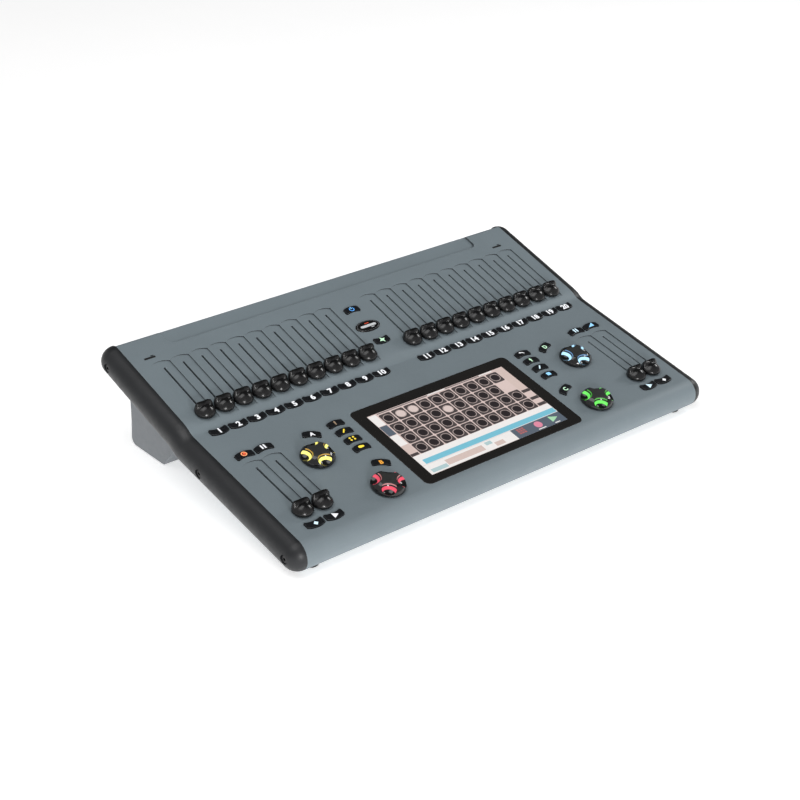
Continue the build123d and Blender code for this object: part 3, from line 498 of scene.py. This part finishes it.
def box_outline(middle, width, height, corner=0.0, steps=4):
    """Rectangle, with round corners if asked."""
    if corner <= 0:
        w, h = width / 2, height / 2
        return [(middle[0] + i * w, middle[1] + j * h) for i, j in ((-1, -1), (1, -1), (1, 1), (-1, 1))]
    points = []
    for quarter, (i, j) in enumerate(((1, 1), (-1, 1), (-1, -1), (1, -1))):
        for n in range(steps + 1):
            a = math.pi / 2 * (quarter + n / steps)
            points.append((
                middle[0] + i * (width / 2 - corner) + corner * math.cos(a),
                middle[1] + j * (height / 2 - corner) + corner * math.sin(a)))
    return points


def bar(start, end, width):
    """Outline of a straight stroke."""
    along = Vector((end[0] - start[0], end[1] - start[1])).normalized()
    side = Vector((-along.y, along.x)) * width / 2
    return [
        (start[0] - side.x, start[1] - side.y), (end[0] - side.x, end[1] - side.y),
        (end[0] + side.x, end[1] + side.y), (start[0] + side.x, start[1] + side.y)]


def arc_band(middle, radius, width, start, end, steps=18):
    """Outline of a curved stroke between two angles, in degrees."""
    turns = [math.radians(start + (end - start) * n / steps) for n in range(steps + 1)]
    stroke = [(radius + width / 2, a) for a in turns] + [(radius - width / 2, a) for a in reversed(turns)]
    return [(middle[0] + r * math.cos(a), middle[1] + r * math.sin(a)) for r, a in stroke]


def print_text(mesh, text, height, low, high, spot, weight=0.055):
    """Raised text, centred on the spot."""
    curve = bpy.data.curves.new("text", "FONT")
    curve.body = text
    curve.size = height * 1.37
    curve.align_x = "CENTER"
    curve.align_y = "CENTER"
    curve.offset = weight * height
    curve.resolution_u = 4
    curve.extrude = 0.5
    holder = bpy.data.objects.new("text", curve)
    drawn = bpy.data.meshes.new_from_object(holder)
    middle = [(min(c) + max(c)) / 2 for c in zip(*[(v.co.x, v.co.y) for v in drawn.vertices])]
    made = [
        mesh.verts.new(spot(v.co.x - middle[0], v.co.y - middle[1], high if v.co.z > 0 else low))
        for v in drawn.vertices
    ]
    for polygon in drawn.polygons:
        mesh.faces.new([made[i] for i in polygon.vertices])
    bpy.data.objects.remove(holder)
    bpy.data.curves.remove(curve)
    bpy.data.meshes.remove(drawn)


def smoothstep(low, high, value):
    t = max(0.0, min(1.0, (value - low) / (high - low)))
    return t * t * (3 - 2 * t)


# ---- fader caps --------------------------------------------------------------
def cap_height_at(u, v, tall):
    """Top of a fader cap: a ball front, a finger valley and a dished crest with two horns."""
    crest = tall - 1.1 * (1 - min(1.0, (u / 6.6) ** 2))
    ball = tall - 1.5 - 0.05 * (v + 2.2) ** 2 - 0.03 * u * u
    valley = 0.45 * math.exp(-((v - 1.2) / 1.2) ** 2)
    back = 3.0 * smoothstep(4.4, 8.6, v)
    return ball + (crest - ball) * smoothstep(0.9, 2.6, v) - valley - back


CAP_LEVER = (1.2, 4.0)
CAP_LEVER_FOOT = -4.5
CAP_FRACTIONS = (0.995, 0.985, 0.965, 0.935, 0.89, 0.83, 0.76, 0.68, 0.59, 0.49, 0.38, 0.26, 0.13)


def fader_cap(name, flat, node):
    """Round cap with a finger rest, on the flat lever that runs in the slot."""
    z = sizes()
    mesh = bmesh.new()
    spot = flat.spot(middle_x(node), flat.middle(node))
    steps, radius, side = 48, z.cap_radius, 1.8
    loops = []
    for r, h in ((radius - 0.9, 0.0), (radius - 0.25, 0.15), (radius, 0.7), (radius, side)):
        loops.append([mesh.verts.new(spot(u, v, z.cap_lift + h)) for u, v in disc((0, 0), r, steps)])
    for fraction in CAP_FRACTIONS:
        loop = []
        for u, v in disc((0, 0), radius * fraction, steps):
            power = 2.2 + 6.0 * smoothstep(-0.5, 3.0, v)
            swell = (1 - fraction ** power) ** 0.5
            top = side + (cap_height_at(u, v, z.cap_height) - side) * swell
            loop.append(mesh.verts.new(spot(u, v, z.cap_lift + top)))
        loops.append(loop)
    skin(mesh, loops)
    crown = mesh.verts.new(spot(0, 0, z.cap_lift + cap_height_at(0, 0, z.cap_height)))
    for n in range(steps):
        mesh.faces.new((loops[-1][n], loops[-1][(n + 1) % steps], crown))
    mesh.faces.new(loops[0][::-1])
    plate(mesh, box_outline((0, 0), *CAP_LEVER), CAP_LEVER_FOOT, z.cap_lift + 0.2, spot)
    piece = add_piece(name, mesh, ["cap_black"], node, math.radians(50))
    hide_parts(node)


# ---- encoder knobs -----------------------------------------------------------
# turn at rest, crescent and its painted reflection in the scallop wall, for each knob
KNOB_TURNS = (-6.0, -37.0, -6.0, -30.0)
KNOB_GLOWS = ("glow_yellow", "glow_red", "glow_blue", "glow_green")
KNOB_PAINTED_REFLECTIONS = ("painted_reflection_yellow", "painted_reflection_red", "painted_reflection_blue", "painted_reflection_green")
SCALLOPS = 4
SCALLOP_OUT = 14.1
SPINDLE_RADIUS = 3.0


def lathe(profile, steps=72):
    """Closed turned body from (radius, height) points, in millimetres, round the Z axis."""
    mesh = bmesh.new()
    loops = []
    for r, h in profile:
        loops.append([mesh.verts.new((u, v, h)) for u, v in disc((0, 0), r, steps)])
    skin(mesh, loops)
    mesh.faces.new(loops[0][::-1])
    mesh.faces.new(loops[-1])
    return mesh


def ball_profile(radius, middle, steps=24):
    """Profile of a ball that stands on the axis, cut a hair short of it at both ends."""
    turns = [-89.0 + 178.0 * n / steps for n in range(steps + 1)]
    return [(radius * math.cos(math.radians(t)), middle + radius * math.sin(math.radians(t))) for t in turns]


def bowl_band(mesh, middle, low, high, start, end, spot, stand=0.25, steps=48, rows=4):
    """Band that lies in a scallop between two distances from its axis, kept within the knob's outline."""
    z = sizes()
    rise = z.scallop_floor + z.scallop_radius

    def place(turn, out, radius):
        u, v = middle[0] + out * math.cos(turn), middle[1] + out * math.sin(turn)
        return u, v, rise - math.sqrt(radius * radius - out * out)

    def reach(turn):
        """How far out the band can go at this turn."""
        out = high
        while out > low:
            u, v, h = place(turn, out, z.scallop_radius - stand)
            if under_dome(math.hypot(u, v), h):
                break
            out -= 0.1
        return out

    loops = []
    for n in range(steps + 1):
        turn = math.radians(start + (end - start) * n / steps)
        edge = reach(turn)
        if edge < low + 0.1:
            continue
        points = []
        for radius, order in ((z.scallop_radius - stand, 1), (z.scallop_radius + 0.3, -1)):
            for row in list(range(rows + 1))[::order]:
                u, v, h = place(turn, low + (edge - low) * row / rows, radius)
                points.append(mesh.verts.new(spot(u, v, z.knob_lift + h)))
        loops.append(points)
    skin(mesh, loops)
    mesh.faces.new(loops[0])
    mesh.faces.new(loops[-1][::-1])


def loose_object(name, mesh):
    """Object for a helper shape, which is taken out again once it has been used."""
    data = bpy.data.meshes.new(name)
    bmesh.ops.recalc_face_normals(mesh, faces=mesh.faces)
    mesh.to_mesh(data)
    mesh.free()
    thing = bpy.data.objects.new(name, data)
    bpy.context.scene.collection.objects.link(thing)
    return thing


def dome_profile():
    """Outline of a knob from its foot to the middle of its top, as (radius, height) points."""
    r, h = sizes().knob_radius, sizes().knob_height
    return [
        (r - 0.8, 0.0), (r - 0.2, 0.2), (r, 0.8), (r - 0.05, 1.8), (r - 0.35, 3.0), (r - 0.95, 4.3),
        (r - 1.9, 5.6), (r - 3.0, 6.7), (r - 4.2, 7.6), (r - 5.4, 8.15), (r - 6.4, 8.4),
        (r - 9.0, h - 0.12), (2.0, h)]


def under_dome(out, height):
    """Whether a point this far from a knob's axis lies inside its outline."""
    points = dome_profile()[2:]
    for (r0, h0), (r1, h1) in zip(points, points[1:]):
        if r1 <= out <= r0:
            return height < h0 + (h1 - h0) * (r0 - out) / (r0 - r1)
    return out < points[-1][0]


def scallops():
    """Turn and middle of each scallop of a knob, in degrees and millimetres."""
    for n in range(SCALLOPS):
        turn = 90 + 360 / SCALLOPS * n
        yield turn, (SCALLOP_OUT * math.cos(math.radians(turn)), SCALLOP_OUT * math.sin(math.radians(turn)))


def scalloped_dome():
    """Knob body about the origin, in millimetres, with its scallops cut and edges eased."""
    z = sizes()
    dome = loose_object("dome", lathe(dome_profile()))
    cutters = []
    for _, middle in scallops():
        cup = lathe(ball_profile(z.scallop_radius, z.scallop_floor + z.scallop_radius), 64)
        bmesh.ops.translate(cup, verts=cup.verts, vec=(*middle, 0))
        cutters.append(loose_object("cup", cup))
    for cutter in cutters:
        cut = dome.modifiers.new("cut", "BOOLEAN")
        cut.operation = "DIFFERENCE"
        cut.solver = "EXACT"
        cut.object = cutter
    ease = dome.modifiers.new("ease", "BEVEL")
    ease.width = 0.3
    ease.segments = 2
    ease.limit_method = "ANGLE"
    ease.angle_limit = math.radians(38)
    graph = bpy.context.evaluated_depsgraph_get()
    shaped = bpy.data.meshes.new_from_object(dome.evaluated_get(graph))
    for thing in [dome] + cutters:
        bpy.data.objects.remove(thing)
    return shaped


def encoder_knob(number, shaped):
    """One knob from the shaped body, with the lit crescents in its scallops and, in each scallop wall, a
    faint glowing band that is a painted reflection of the crescent.
    """
    z = sizes()
    node = f"encoder_knob_{number}"
    x, s = FRONT.of(JOINTS[f"encoder_{number}"]["pos_m"])
    turn = math.radians(KNOB_TURNS[number - 1])
    spot = FRONT.spot(x, s, turn)
    mesh = bmesh.new()
    mesh.from_mesh(shaped)
    for vert in mesh.verts:
        vert.co = spot(vert.co.x, vert.co.y, z.knob_lift + vert.co.z)
    plate(mesh, disc((0, 0), SPINDLE_RADIUS), -3.0, z.knob_lift + 0.5, spot)
    dome = add_piece(f"encoder_dome_{number}", mesh, ["gloss_black", "knob_top"], node, math.radians(32))
    top = FRONT.height + (z.knob_lift + z.knob_height - 0.35) * MM
    for polygon in dome.data.polygons:
        if polygon.center.dot(FRONT.square) > top and polygon.normal.dot(FRONT.square) > 0.97:
            polygon.material_index = 1
    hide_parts(node)
    glow, painted_reflection = bmesh.new(), bmesh.new()
    for a, middle in scallops():
        bowl_band(glow, middle, z.glow_radius - z.glow_width, z.glow_radius, a + 96, a + 264, spot)
        # painted reflection: a faint glowing band in the scallop wall in place of the crescent's reflection
        bowl_band(painted_reflection, middle, 7.6, 7.9, a + 110, a + 250, spot, 0.12)
    for name, arcs, light in (("glow", glow, KNOB_GLOWS), ("painted_reflection", painted_reflection, KNOB_PAINTED_REFLECTIONS)):
        lens = add_piece(f"encoder_{name}_{number}", arcs, [light[number - 1]], node, math.radians(40))


# ---- key marks ---------------------------------------------------------------
class Marks:
    """Raised marks on the keys of one body, one piece for each colour."""

    def __init__(self, flat, node):
        self.flat = flat
        self.node = node
        self.low = flat.top(node) - 0.02
        self.high = flat.top(node) + sizes().mark_thickness
        self.meshes = {}

    def mesh(self, light):
        return self.meshes.setdefault(light, bmesh.new())

    def shape(self, light, outline, spot):
        plate(self.mesh(light), outline, self.low, self.high, spot)

    def ring(self, light, middle, inner, outer, spot):
        hoop(self.mesh(light), middle, inner, outer, self.low, self.high, spot, steps=28)

    def text(self, light, words, spot, height=None):
        print_text(self.mesh(light), words, height or sizes().number_height, self.low, self.high, spot)

    def done(self):
        for light, mesh in self.meshes.items():
            piece = add_piece(f"{self.node}_{light}", mesh, [light], self.node)


def triangle(middle, reach, turn):
    corners = [math.radians(turn + a) for a in (0, 120, 240)]
    return [(middle[0] + reach * math.cos(a), middle[1] + reach * math.sin(a)) for a in corners]


def diamond(middle, width, height):
    return [(middle[0] + width / 2, middle[1]), (middle[0], middle[1] + height / 2),
            (middle[0] - width / 2, middle[1]), (middle[0], middle[1] - height / 2)]


def power_mark(marks, spot):
    marks.shape("lit_blue", arc_band((0, -0.2), 2.2, 0.8, 125, 415, 22), spot)
    marks.shape("lit_sky", bar((0, 0.2), (0, 2.8), 0.8), spot)


def spark_mark(marks, spot):
    points = []
    for n in range(8):
        r = 3.7 if n % 2 == 0 else 1.5
        a = math.radians(45 * n + 20)
        points.append((r * math.cos(a), r * math.sin(a)))
    marks.shape("lit_mint", points, spot)


def record_mark(marks, spot):
    marks.ring("lit_orange", (0, 0.2), 1.7, 2.7, spot)
    marks.shape("lit_red", disc((0.2, 0.2), 1.1), spot)


def pause_mark(marks, spot, light="lit_white"):
    for side in (-1, 1):
        marks.shape(light, box_outline((side * 1.4, 0.3), 1.5, 5.0), spot)


def return_arrow(marks, spot):
    marks.shape("lit_white", arc_band((-0.6, -1.4), 2.6, 0.9, 10, 100, 14), spot)
    marks.shape("lit_white", triangle((-1.6, 1.4), 1.3, 180), spot)


def tall_arrow(marks, spot):
    marks.shape("lit_mint", bar((0.2, -2.3), (0.2, 1.2), 1.3), spot)
    marks.shape("lit_mint", triangle((0.1, 1.3), 1.8, 90), spot)


def slash_mark(marks, spot, light):
    marks.shape(light, bar((-1.7, -2.0), (1.5, 1.9), 1.2), spot)


def four_dots(marks, spot):
    for i in (-1, 1):
        for j in (-1, 1):
            marks.shape("lit_yellow", disc((i * 1.8, j * 1.4 + 0.2), 0.95, 20), spot)


def cloud_mark(marks, spot):
    marks.shape("lit_yellow", disc((-0.6, 0.2), 2.1, 24, 0.75), spot)
    marks.shape("lit_yellow", disc((1.4, 0.0), 1.5, 24, 0.8), spot)


def key_marks():
    """Numbers and symbols of every key."""
    for node, first in (("number_keys_1_10", 1), ("number_keys_11_20", 11)):
        marks = Marks(FRONT, node)
        for n, x in enumerate(across(node, 10)):
            marks.text("lit_white", str(first + n), FRONT.spot(x, FRONT.middle(node)))
        marks.done()
    power = Marks(BANK, "power_key")
    power_mark(power, BANK.spot(middle_x("power_key"), BANK.middle("power_key")))
    power.done()
    macro = Marks(BANK, "macro_key")
    spark_mark(macro, BANK.spot(middle_x("macro_key"), BANK.middle("macro_key")))
    macro.done()
    flash_key_marks()
    transport_marks()
    screen_key_marks()
    encoder_key_marks()


def playback_x():
    return [middle_x(f"playback_fader_{n}") for n in (1, 2, 3, 4)]


def flash_key_marks():
    marks = Marks(FRONT, "flash_keys")
    spots = [FRONT.spot(x, FRONT.middle("flash_keys")) for x in playback_x()]
    marks.shape("lit_ice", diamond((0.4, -0.4), 4.4, 4.4), spots[0])
    marks.shape("lit_white", triangle((0.0, -0.2), 3.5, 0), spots[1])
    marks.shape("lit_ice", triangle((0.0, -0.2), 3.6, 0), spots[2])
    marks.shape("lit_white", diamond((0.2, -0.4), 4.2, 4.2), spots[3])
    marks.done()


def transport_marks():
    left = Marks(FRONT, "transport_keys_left")
    right = Marks(FRONT, "transport_keys_right")
    level = FRONT.middle("transport_keys_left")
    spots = [FRONT.spot(x, level) for x in playback_x()]
    record_mark(left, spots[0])
    pause_mark(left, spots[1])
    pause_mark(right, spots[2], "lit_ice")
    right.shape("lit_sky", [(-3.4, -2.0), (3.4, -2.0), (3.4, 2.9)], spots[3])
    left.done()
    right.done()


COLUMN_PITCH = 12.0


def column_spots(node):
    """Placing functions of the four keys of a column, top first."""
    low, high = spread(node, FRONT.along)
    reach = (high - low) / MM - 3 * COLUMN_PITCH
    top = (high - FRONT.start) / MM - reach / 2
    return [FRONT.spot(middle_x(node), top - n * COLUMN_PITCH) for n in range(4)]


def screen_key_marks():
    left = Marks(FRONT, "screen_keys_left")
    spots = column_spots("screen_keys_left")
    left.text("lit_warm", "?", spots[0], 4.2)
    slash_mark(left, spots[1], "lit_yellow")
    four_dots(left, spots[2])
    cloud_mark(left, spots[3])
    left.done()
    right = Marks(FRONT, "screen_keys_right")
    spots = column_spots("screen_keys_right")
    return_arrow(right, spots[0])
    tall_arrow(right, spots[1])
    slash_mark(right, spots[2], "lit_ice")
    right.shape("lit_sky", box_outline((0.2, 0.3), 4.2, 3.8, 0.5), spots[3])
    right.done()


# middle of an encoder's key from the encoder's axis
ENCODER_KEY_ASIDE = 13.8
ENCODER_KEY_UP = 26.4


def encoder_key_marks():
    turn = sizes().encoder_key_turn * 0.35
    for side, node, numbers, words, lights in (
            (-1, "encoder_keys_left", (1, 2), "AB", ("lit_white", "lit_amber")),
            (1, "encoder_keys_right", (3, 4), "DC", ("lit_mint", "lit_mint"))):
        marks = Marks(FRONT, node)
        for number, word, light in zip(numbers, words, lights):
            x, s = FRONT.of(JOINTS[f"encoder_{number}"]["pos_m"])
            spot = FRONT.spot(x - side * ENCODER_KEY_ASIDE, s + ENCODER_KEY_UP, side * turn)
            marks.text(light, word, spot, 4.4)
        marks.done()


# ---- screen ------------------------------------------------------------------
SCREEN_WIDTH = 154.0
SCREEN_HEIGHT = 87.6
SCREEN_MIDDLE = (-0.6, 54.0)
# from the screen's lower left corner: the first tile, and the middle of its lamp from there
TILE_START = (9.8, 70.9)
TILE_PITCH = (13.56, 14.85)
TILE_LAMP = (5.9, 6.6)
BRIGHT_TILES = {(1, 0), (2, 0), (4, 1)}


def screen_fields():
    """The page on the display: rows of lamp tiles, side strips, an open drawer and a tool bar."""
    z = sizes()
    left, foot = SCREEN_MIDDLE[0] - SCREEN_WIDTH / 2, SCREEN_MIDDLE[1] - SCREEN_HEIGHT / 2
    spot = FRONT.spot(left, foot)
    meshes = {}
    level = FRONT.top("screen_lens")

    def field(light, layer, outline):
        mesh = meshes.setdefault(light, bmesh.new())
        plate(mesh, outline, level - 0.02, level + 0.04 * layer, spot)

    def strip(light, layer, x0, y0, x1, y1, corner=0.0):
        field(light, layer, box_outline(((x0 + x1) / 2, (y0 + y1) / 2), x1 - x0, y1 - y0, corner))

    strip("shown_blank", 1, 0, 0, SCREEN_WIDTH, SCREEN_HEIGHT)
    strip("shown_white", 2, 0, 12.8, SCREEN_WIDTH, 25.8)
    strip("shown_blue", 3, 4.8, 13.2, SCREEN_WIDTH - 0.6, 19.2)
    strip("shown_white", 2, 0, 0.2, 97.2, 12.4)
    strip("shown_aqua", 3, 3, 1.6, 20, 6.0)
    strip("shown_peach", 3, 21, 3.0, 62, 9.8)
    strip("shown_aqua", 3, 66, 7.0, 73, 11.0)
    strip("shown_peach", 3, 74, 2.0, 84, 7.0)
    strip("shown_slate", 2, 97.2, 0, SCREEN_WIDTH, 12.6)
    tool_bar(field, strip)
    side_strips(strip)
    rims = meshes.setdefault("shown_rim", bmesh.new())
    for row in range(z.rows):
        for column in range(z.columns):
            if (column, row) == (z.columns - 1, 1):
                continue
            x = TILE_START[0] + column * TILE_PITCH[0]
            y = TILE_START[1] - row * TILE_PITCH[1]
            middle = (x + TILE_LAMP[0], y + TILE_LAMP[1])
            strip("shown_tile", 3, x - 0.25, y - 0.35, x + 12.05, y + 13.55, 1.6)
            light, radius = ("shown_lamp", 4.3) if (column, row) in BRIGHT_TILES else ("shown_core", 3.9)
            hoop(rims, middle, 4.5, 4.95, level, level + 0.17, spot, steps=28)
            field(light, 4, disc(middle, radius, 24))
    for light, mesh in meshes.items():
        piece = add_piece(f"screen_{light}", mesh, [light], "desk")


def tool_bar(field, strip):
    for n in range(3):
        for m in range(3):
            strip("shown_red", 3, 102.5 + n * 2.8, 4.2 + m * 2.5, 104.7 + n * 2.8, 6.1 + m * 2.5)
    field("shown_pink", 3, disc((125.6, 7.2), 4.0))
    strip("shown_white", 3, 121.5, 1.0, 130.0, 2.0)
    field("shown_green", 3, [(140.0, 3.4), (148.6, 7.4), (140.0, 11.4)])
    strip("shown_white", 3, 141.0, 1.0, 146.6, 2.0)


def side_strips(strip):
    strip("shown_slate", 2, 0.4, 57.0, 8.2, 71.0)
    strip("shown_white", 2, 0.2, 42.0, 8.2, 56.4)
    strip("shown_peach", 2, 0.2, 30.4, 8.2, 41.4)
    strip("shown_tile", 2, 0.2, 26.2, 8.4, 29.6)
    strip("shown_white", 2, 0.2, 71.6, 8.2, 86.6)
    for y in (26.4, 36.0, 47.6):
        strip("shown_tile", 2, 145.0, y, SCREEN_WIDTH - 0.2, y + 3.8)
    strip("shown_peach", 2, 144.6, 51.8, SCREEN_WIDTH - 0.2, 86.4)
    strip("shown_ring", 2, 10, 85.8, SCREEN_WIDTH - 20, 87.0)
    for n in range(2):
        strip("shown_white", 3, 66 + 60 * n, 86.0, 86 + 55 * n, 87.2)


# ---- the rest ----------------------------------------------------------------
NODE_FINISHES = {
    "powder_coat": ("top_panel", "bottom_pan"),
    "housing_coat": ("rear_housing", "rear_plate"),
    "cheek_plastic": ("left_cheek", "right_cheek"),
    "black_steel": ("cheek_screws", "case_screws"),
    "screen_glass": ("screen_lens",),
    "gloss_black": ("badge",),
    "board_laminate": ("panel_boards", "main_board"),
    "folded_metal": ("power_supply", "display_module"),
    "socket_plastic": (
        "dmx_sockets", "power_inlet", "power_switch_rocker", "fader_rails", "encoder_bases"),
    "plated_steel": ("data_sockets",),
    "foot_rubber": ("feet",),
    "key_black": (
        "number_keys_1_10", "number_keys_11_20", "screen_keys_left", "screen_keys_right",
        "encoder_keys_left", "encoder_keys_right", "transport_keys_left", "transport_keys_right",
        "flash_keys", "power_key", "macro_key"),
}


def badge_trim():
    """Plain oval badge: a bright rim line and a small beam sign, with no lettering."""
    mesh = bmesh.new()
    spot = BANK.spot(middle_x("badge"), BANK.middle("badge"))
    top = BANK.top("badge")
    hoop(mesh, (0, 0), 11.2, 11.6, top - 0.3, top + 0.03, spot, steps=64, squash=0.52)
    ring = add_piece("badge_rim", mesh, ["badge_ring"], "desk")
    sign = bmesh.new()
    plate(sign, box_outline((0.4, -0.2), 17.0, 2.9, 1.3), top - 0.1, top + 0.04, spot)
    plate(sign, box_outline((3.6, -2.9), 3.4, 0.9, 0.4), top - 0.1, top + 0.04, spot)
    bars = add_piece("badge_bars", sign, ["printed_white"], "desk")
    dot = bmesh.new()
    for n in (-1, 0, 1):
        plate(dot, disc((1.6 * n + 0.6, 3.2), 0.5, 16), top - 0.1, top + 0.04, spot)
    spark = add_piece("badge_dot", dot, ["lit_red"], "desk")


# middles of the signs at the rear corners
CORNER_SIGNS_ACROSS = (-202.0, 196.0)
CORNER_SIGNS_UP = 80.0


def corner_signs():
    """Plain printed bars at the two rear corners of the panel, without lettering."""
    mesh = bmesh.new()
    for x in CORNER_SIGNS_ACROSS:
        spot = BANK.spot(x, CORNER_SIGNS_UP)
        plate(mesh, box_outline((0, 0), 11.0, 2.2, 0.4), -0.05, 0.05, spot)
        plate(mesh, box_outline((3.2, 2.0), 3.0, 1.0, 0.3), -0.05, 0.05, spot)
    add_piece("corner_signs", mesh, ["printed_black"], "desk")


# ---- stage -------------------------------------------------------------------
# place, point lit, size of its square in metres and power in watts
LIGHTS = {
    "side_light": ((1.55, -0.2, 0.85), (0, 0, 0.05), 0.5, 7),
    "front_light": ((-0.6, -1.9, 0.4), (0, 0, 0.05), 0.4, 13),
    "top_light": ((-0.6, -0.1, 1.9), (0, 0, 0), 1.4, 14),
}
CAMERA_TURN = -39.475
CAMERA_RISE = 26.99
CAMERA_DISTANCE = 1.428
CAMERA_LENS = 76.78
# point looked at, from the middle of the desk's front edge, in metres
CAMERA_AIM = (-0.0600, 0.0727, 0.0407)
DARK_CLOTH = (0.57, 0.37, 0.73)


def area_light(name, place, aim, size, power):
    data = bpy.data.lights.new(name, "AREA")
    data.shape = "RECTANGLE"
    data.size = size
    data.size_y = size
    data.energy = power
    lamp = bpy.data.objects.new(name, data)
    bpy.context.scene.collection.objects.link(lamp)
    lamp.location = place
    lamp.rotation_euler = (Vector(aim) - Vector(place)).to_track_quat("-Z", "Y").to_euler()


def studio_floor():
    mesh = bmesh.new()
    reach, steps = 6.0, 24
    grid = [[mesh.verts.new((-reach + 2 * reach * i / steps, -reach + 2 * reach * j / steps, 0.0))
             for i in range(steps + 1)] for j in range(steps + 1)]
    for j in range(steps):
        for i in range(steps):
            mesh.faces.new((grid[j][i], grid[j][i + 1], grid[j + 1][i + 1], grid[j + 1][i]))
    data = bpy.data.meshes.new("floor")
    mesh.to_mesh(data)
    mesh.free()
    paper = Finish("studio_paper", colours().floor, 0.8)
    paper.clouds(300, 0.01).gloss(50, 0.75, 0.85).grain(2, 0.02, 0.2)
    paper.glow((1.0, 1.0, 1.0), 0.55)
    data.materials.append(paper.mat)
    floor = bpy.data.objects.new("floor", data)
    bpy.context.scene.collection.objects.link(floor)


def studio_camera():
    """Three-quarter view from the operator's left."""
    turn, rise = math.radians(CAMERA_TURN), math.radians(CAMERA_RISE)
    aim = FRONT.point(0, 0) + Vector(CAMERA_AIM)
    back = Vector((math.sin(turn) * math.cos(rise), -math.cos(turn) * math.cos(rise), math.sin(rise)))
    data = bpy.data.cameras.new("camera")
    data.lens = CAMERA_LENS
    data.sensor_width = 36.0
    data.clip_start = 0.01
    camera = bpy.data.objects.new("camera", data)
    bpy.context.scene.collection.objects.link(camera)
    camera.location = aim + back * CAMERA_DISTANCE
    camera.rotation_euler = (-back).to_track_quat("-Z", "Y").to_euler()
    bpy.context.scene.camera = camera


def studio_air(scene):
    """White studio all round, with a dark cloth high behind the right of the desk."""
    world = bpy.data.worlds.new("studio")
    world.use_nodes = True
    nodes, links = world.node_tree.nodes, world.node_tree.links
    direction = nodes.new("ShaderNodeTexCoord").outputs["Generated"]
    towards = nodes.new("ShaderNodeVectorMath")
    towards.operation = "DOT_PRODUCT"
    towards.inputs[1].default_value = Vector(DARK_CLOTH).normalized()
    cloth = nodes.new("ShaderNodeMapRange")
    cloth.interpolation_type = "SMOOTHSTEP"
    for name, value in (("From Min", 0.3), ("From Max", 0.85), ("To Min", 0.5), ("To Max", 0.07)):
        cloth.inputs[name].default_value = value
    links.new(direction, towards.inputs[0])
    links.new(towards.outputs["Value"], cloth.inputs["Value"])
    links.new(cloth.outputs["Result"], nodes["Background"].inputs["Strength"])
    nodes["Background"].inputs["Color"].default_value = (1.0, 1.0, 1.0, 1.0)
    scene.world = world


class DESK_OT_stage(bpy.types.Operator):
    """Floor, soft lights and camera"""
    bl_idname = "desk.stage"
    bl_label = "Stage"

    def execute(self, context):
        studio_floor()
        studio_camera()
        studio_air(context.scene)
        for name, setting in LIGHTS.items():
            area_light(name, *setting)
        context.scene.view_settings.view_transform = "Standard"
        return {"FINISHED"}


class DESK_OT_shell(bpy.types.Operator):
    """Finishes of the panel, cheeks, housing, inner pieces and keys"""
    bl_idname = "desk.shell"
    bl_label = "Shell finishes"

    def execute(self, context):
        for name, nodes in NODE_FINISHES.items():
            for node in nodes:
                coat_node(node, name)
        return {"FINISHED"}


class DESK_OT_caps(bpy.types.Operator):
    """Fader caps of the submaster bank and the playbacks"""
    bl_idname = "desk.caps"
    bl_label = "Fader caps"

    def execute(self, context):
        for n in range(1, 21):
            fader_cap(f"submaster_cap_{n:02d}", BANK, f"submaster_fader_{n:02d}")
        for n in range(1, 5):
            fader_cap(f"playback_cap_{n}", FRONT, f"playback_fader_{n}")
        return {"FINISHED"}


class DESK_OT_knobs(bpy.types.Operator):
    """Encoder knobs with their lit crescents"""
    bl_idname = "desk.knobs"
    bl_label = "Encoder knobs"

    def execute(self, context):
        shaped = scalloped_dome()
        for number in range(1, 5):
            encoder_knob(number, shaped)
        bpy.data.meshes.remove(shaped)
        return {"FINISHED"}


class DESK_OT_marks(bpy.types.Operator):
    """Numbers and symbols of the keys"""
    bl_idname = "desk.marks"
    bl_label = "Key marks"

    def execute(self, context):
        key_marks()
        return {"FINISHED"}


class DESK_OT_screen(bpy.types.Operator):
    """Page shown on the display"""
    bl_idname = "desk.screen"
    bl_label = "Screen"

    def execute(self, context):
        screen_fields()
        return {"FINISHED"}


class DESK_OT_badge(bpy.types.Operator):
    """Trim of the plain oval badge and the signs at the rear corners"""
    bl_idname = "desk.badge"
    bl_label = "Badge"

    def execute(self, context):
        badge_trim()
        corner_signs()
        return {"FINISHED"}


OPERATORS = (
    DESK_OT_stage, DESK_OT_shell, DESK_OT_caps, DESK_OT_knobs, DESK_OT_marks, DESK_OT_screen, DESK_OT_badge)


class DESK_PT_sidebar(bpy.types.Panel):
    """Steps that build the desk, in order"""
    bl_idname = "DESK_PT_sidebar"
    bl_label = "Lighting Control Desk"
    bl_space_type = "VIEW_3D"
    bl_region_type = "UI"
    bl_category = "Desk"

    def draw(self, context):
        for group in (context.scene.desk_sizes, context.scene.desk_colours):
            for name in group.__annotations__:
                self.layout.prop(group, name)
        for operator in OPERATORS:
            self.layout.operator(operator.bl_idname)


CLASSES = (DeskSizes, DeskColours) + OPERATORS + (DESK_PT_sidebar,)


def register():
    for cls in CLASSES:
        bpy.utils.register_class(cls)
    bpy.types.Scene.desk_sizes = PointerProperty(type=DeskSizes)
    bpy.types.Scene.desk_colours = PointerProperty(type=DeskColours)


def unregister():
    del bpy.types.Scene.desk_colours
    del bpy.types.Scene.desk_sizes
    for cls in reversed(CLASSES):
        bpy.utils.unregister_class(cls)


def main():
    register()
    bpy.ops.desk.stage()
    bpy.ops.desk.shell()
    bpy.ops.desk.caps()
    bpy.ops.desk.knobs()
    bpy.ops.desk.marks()
    bpy.ops.desk.screen()
    bpy.ops.desk.badge()
    bpy.context.view_layer.update()


if __name__ == "__main__":
    main()
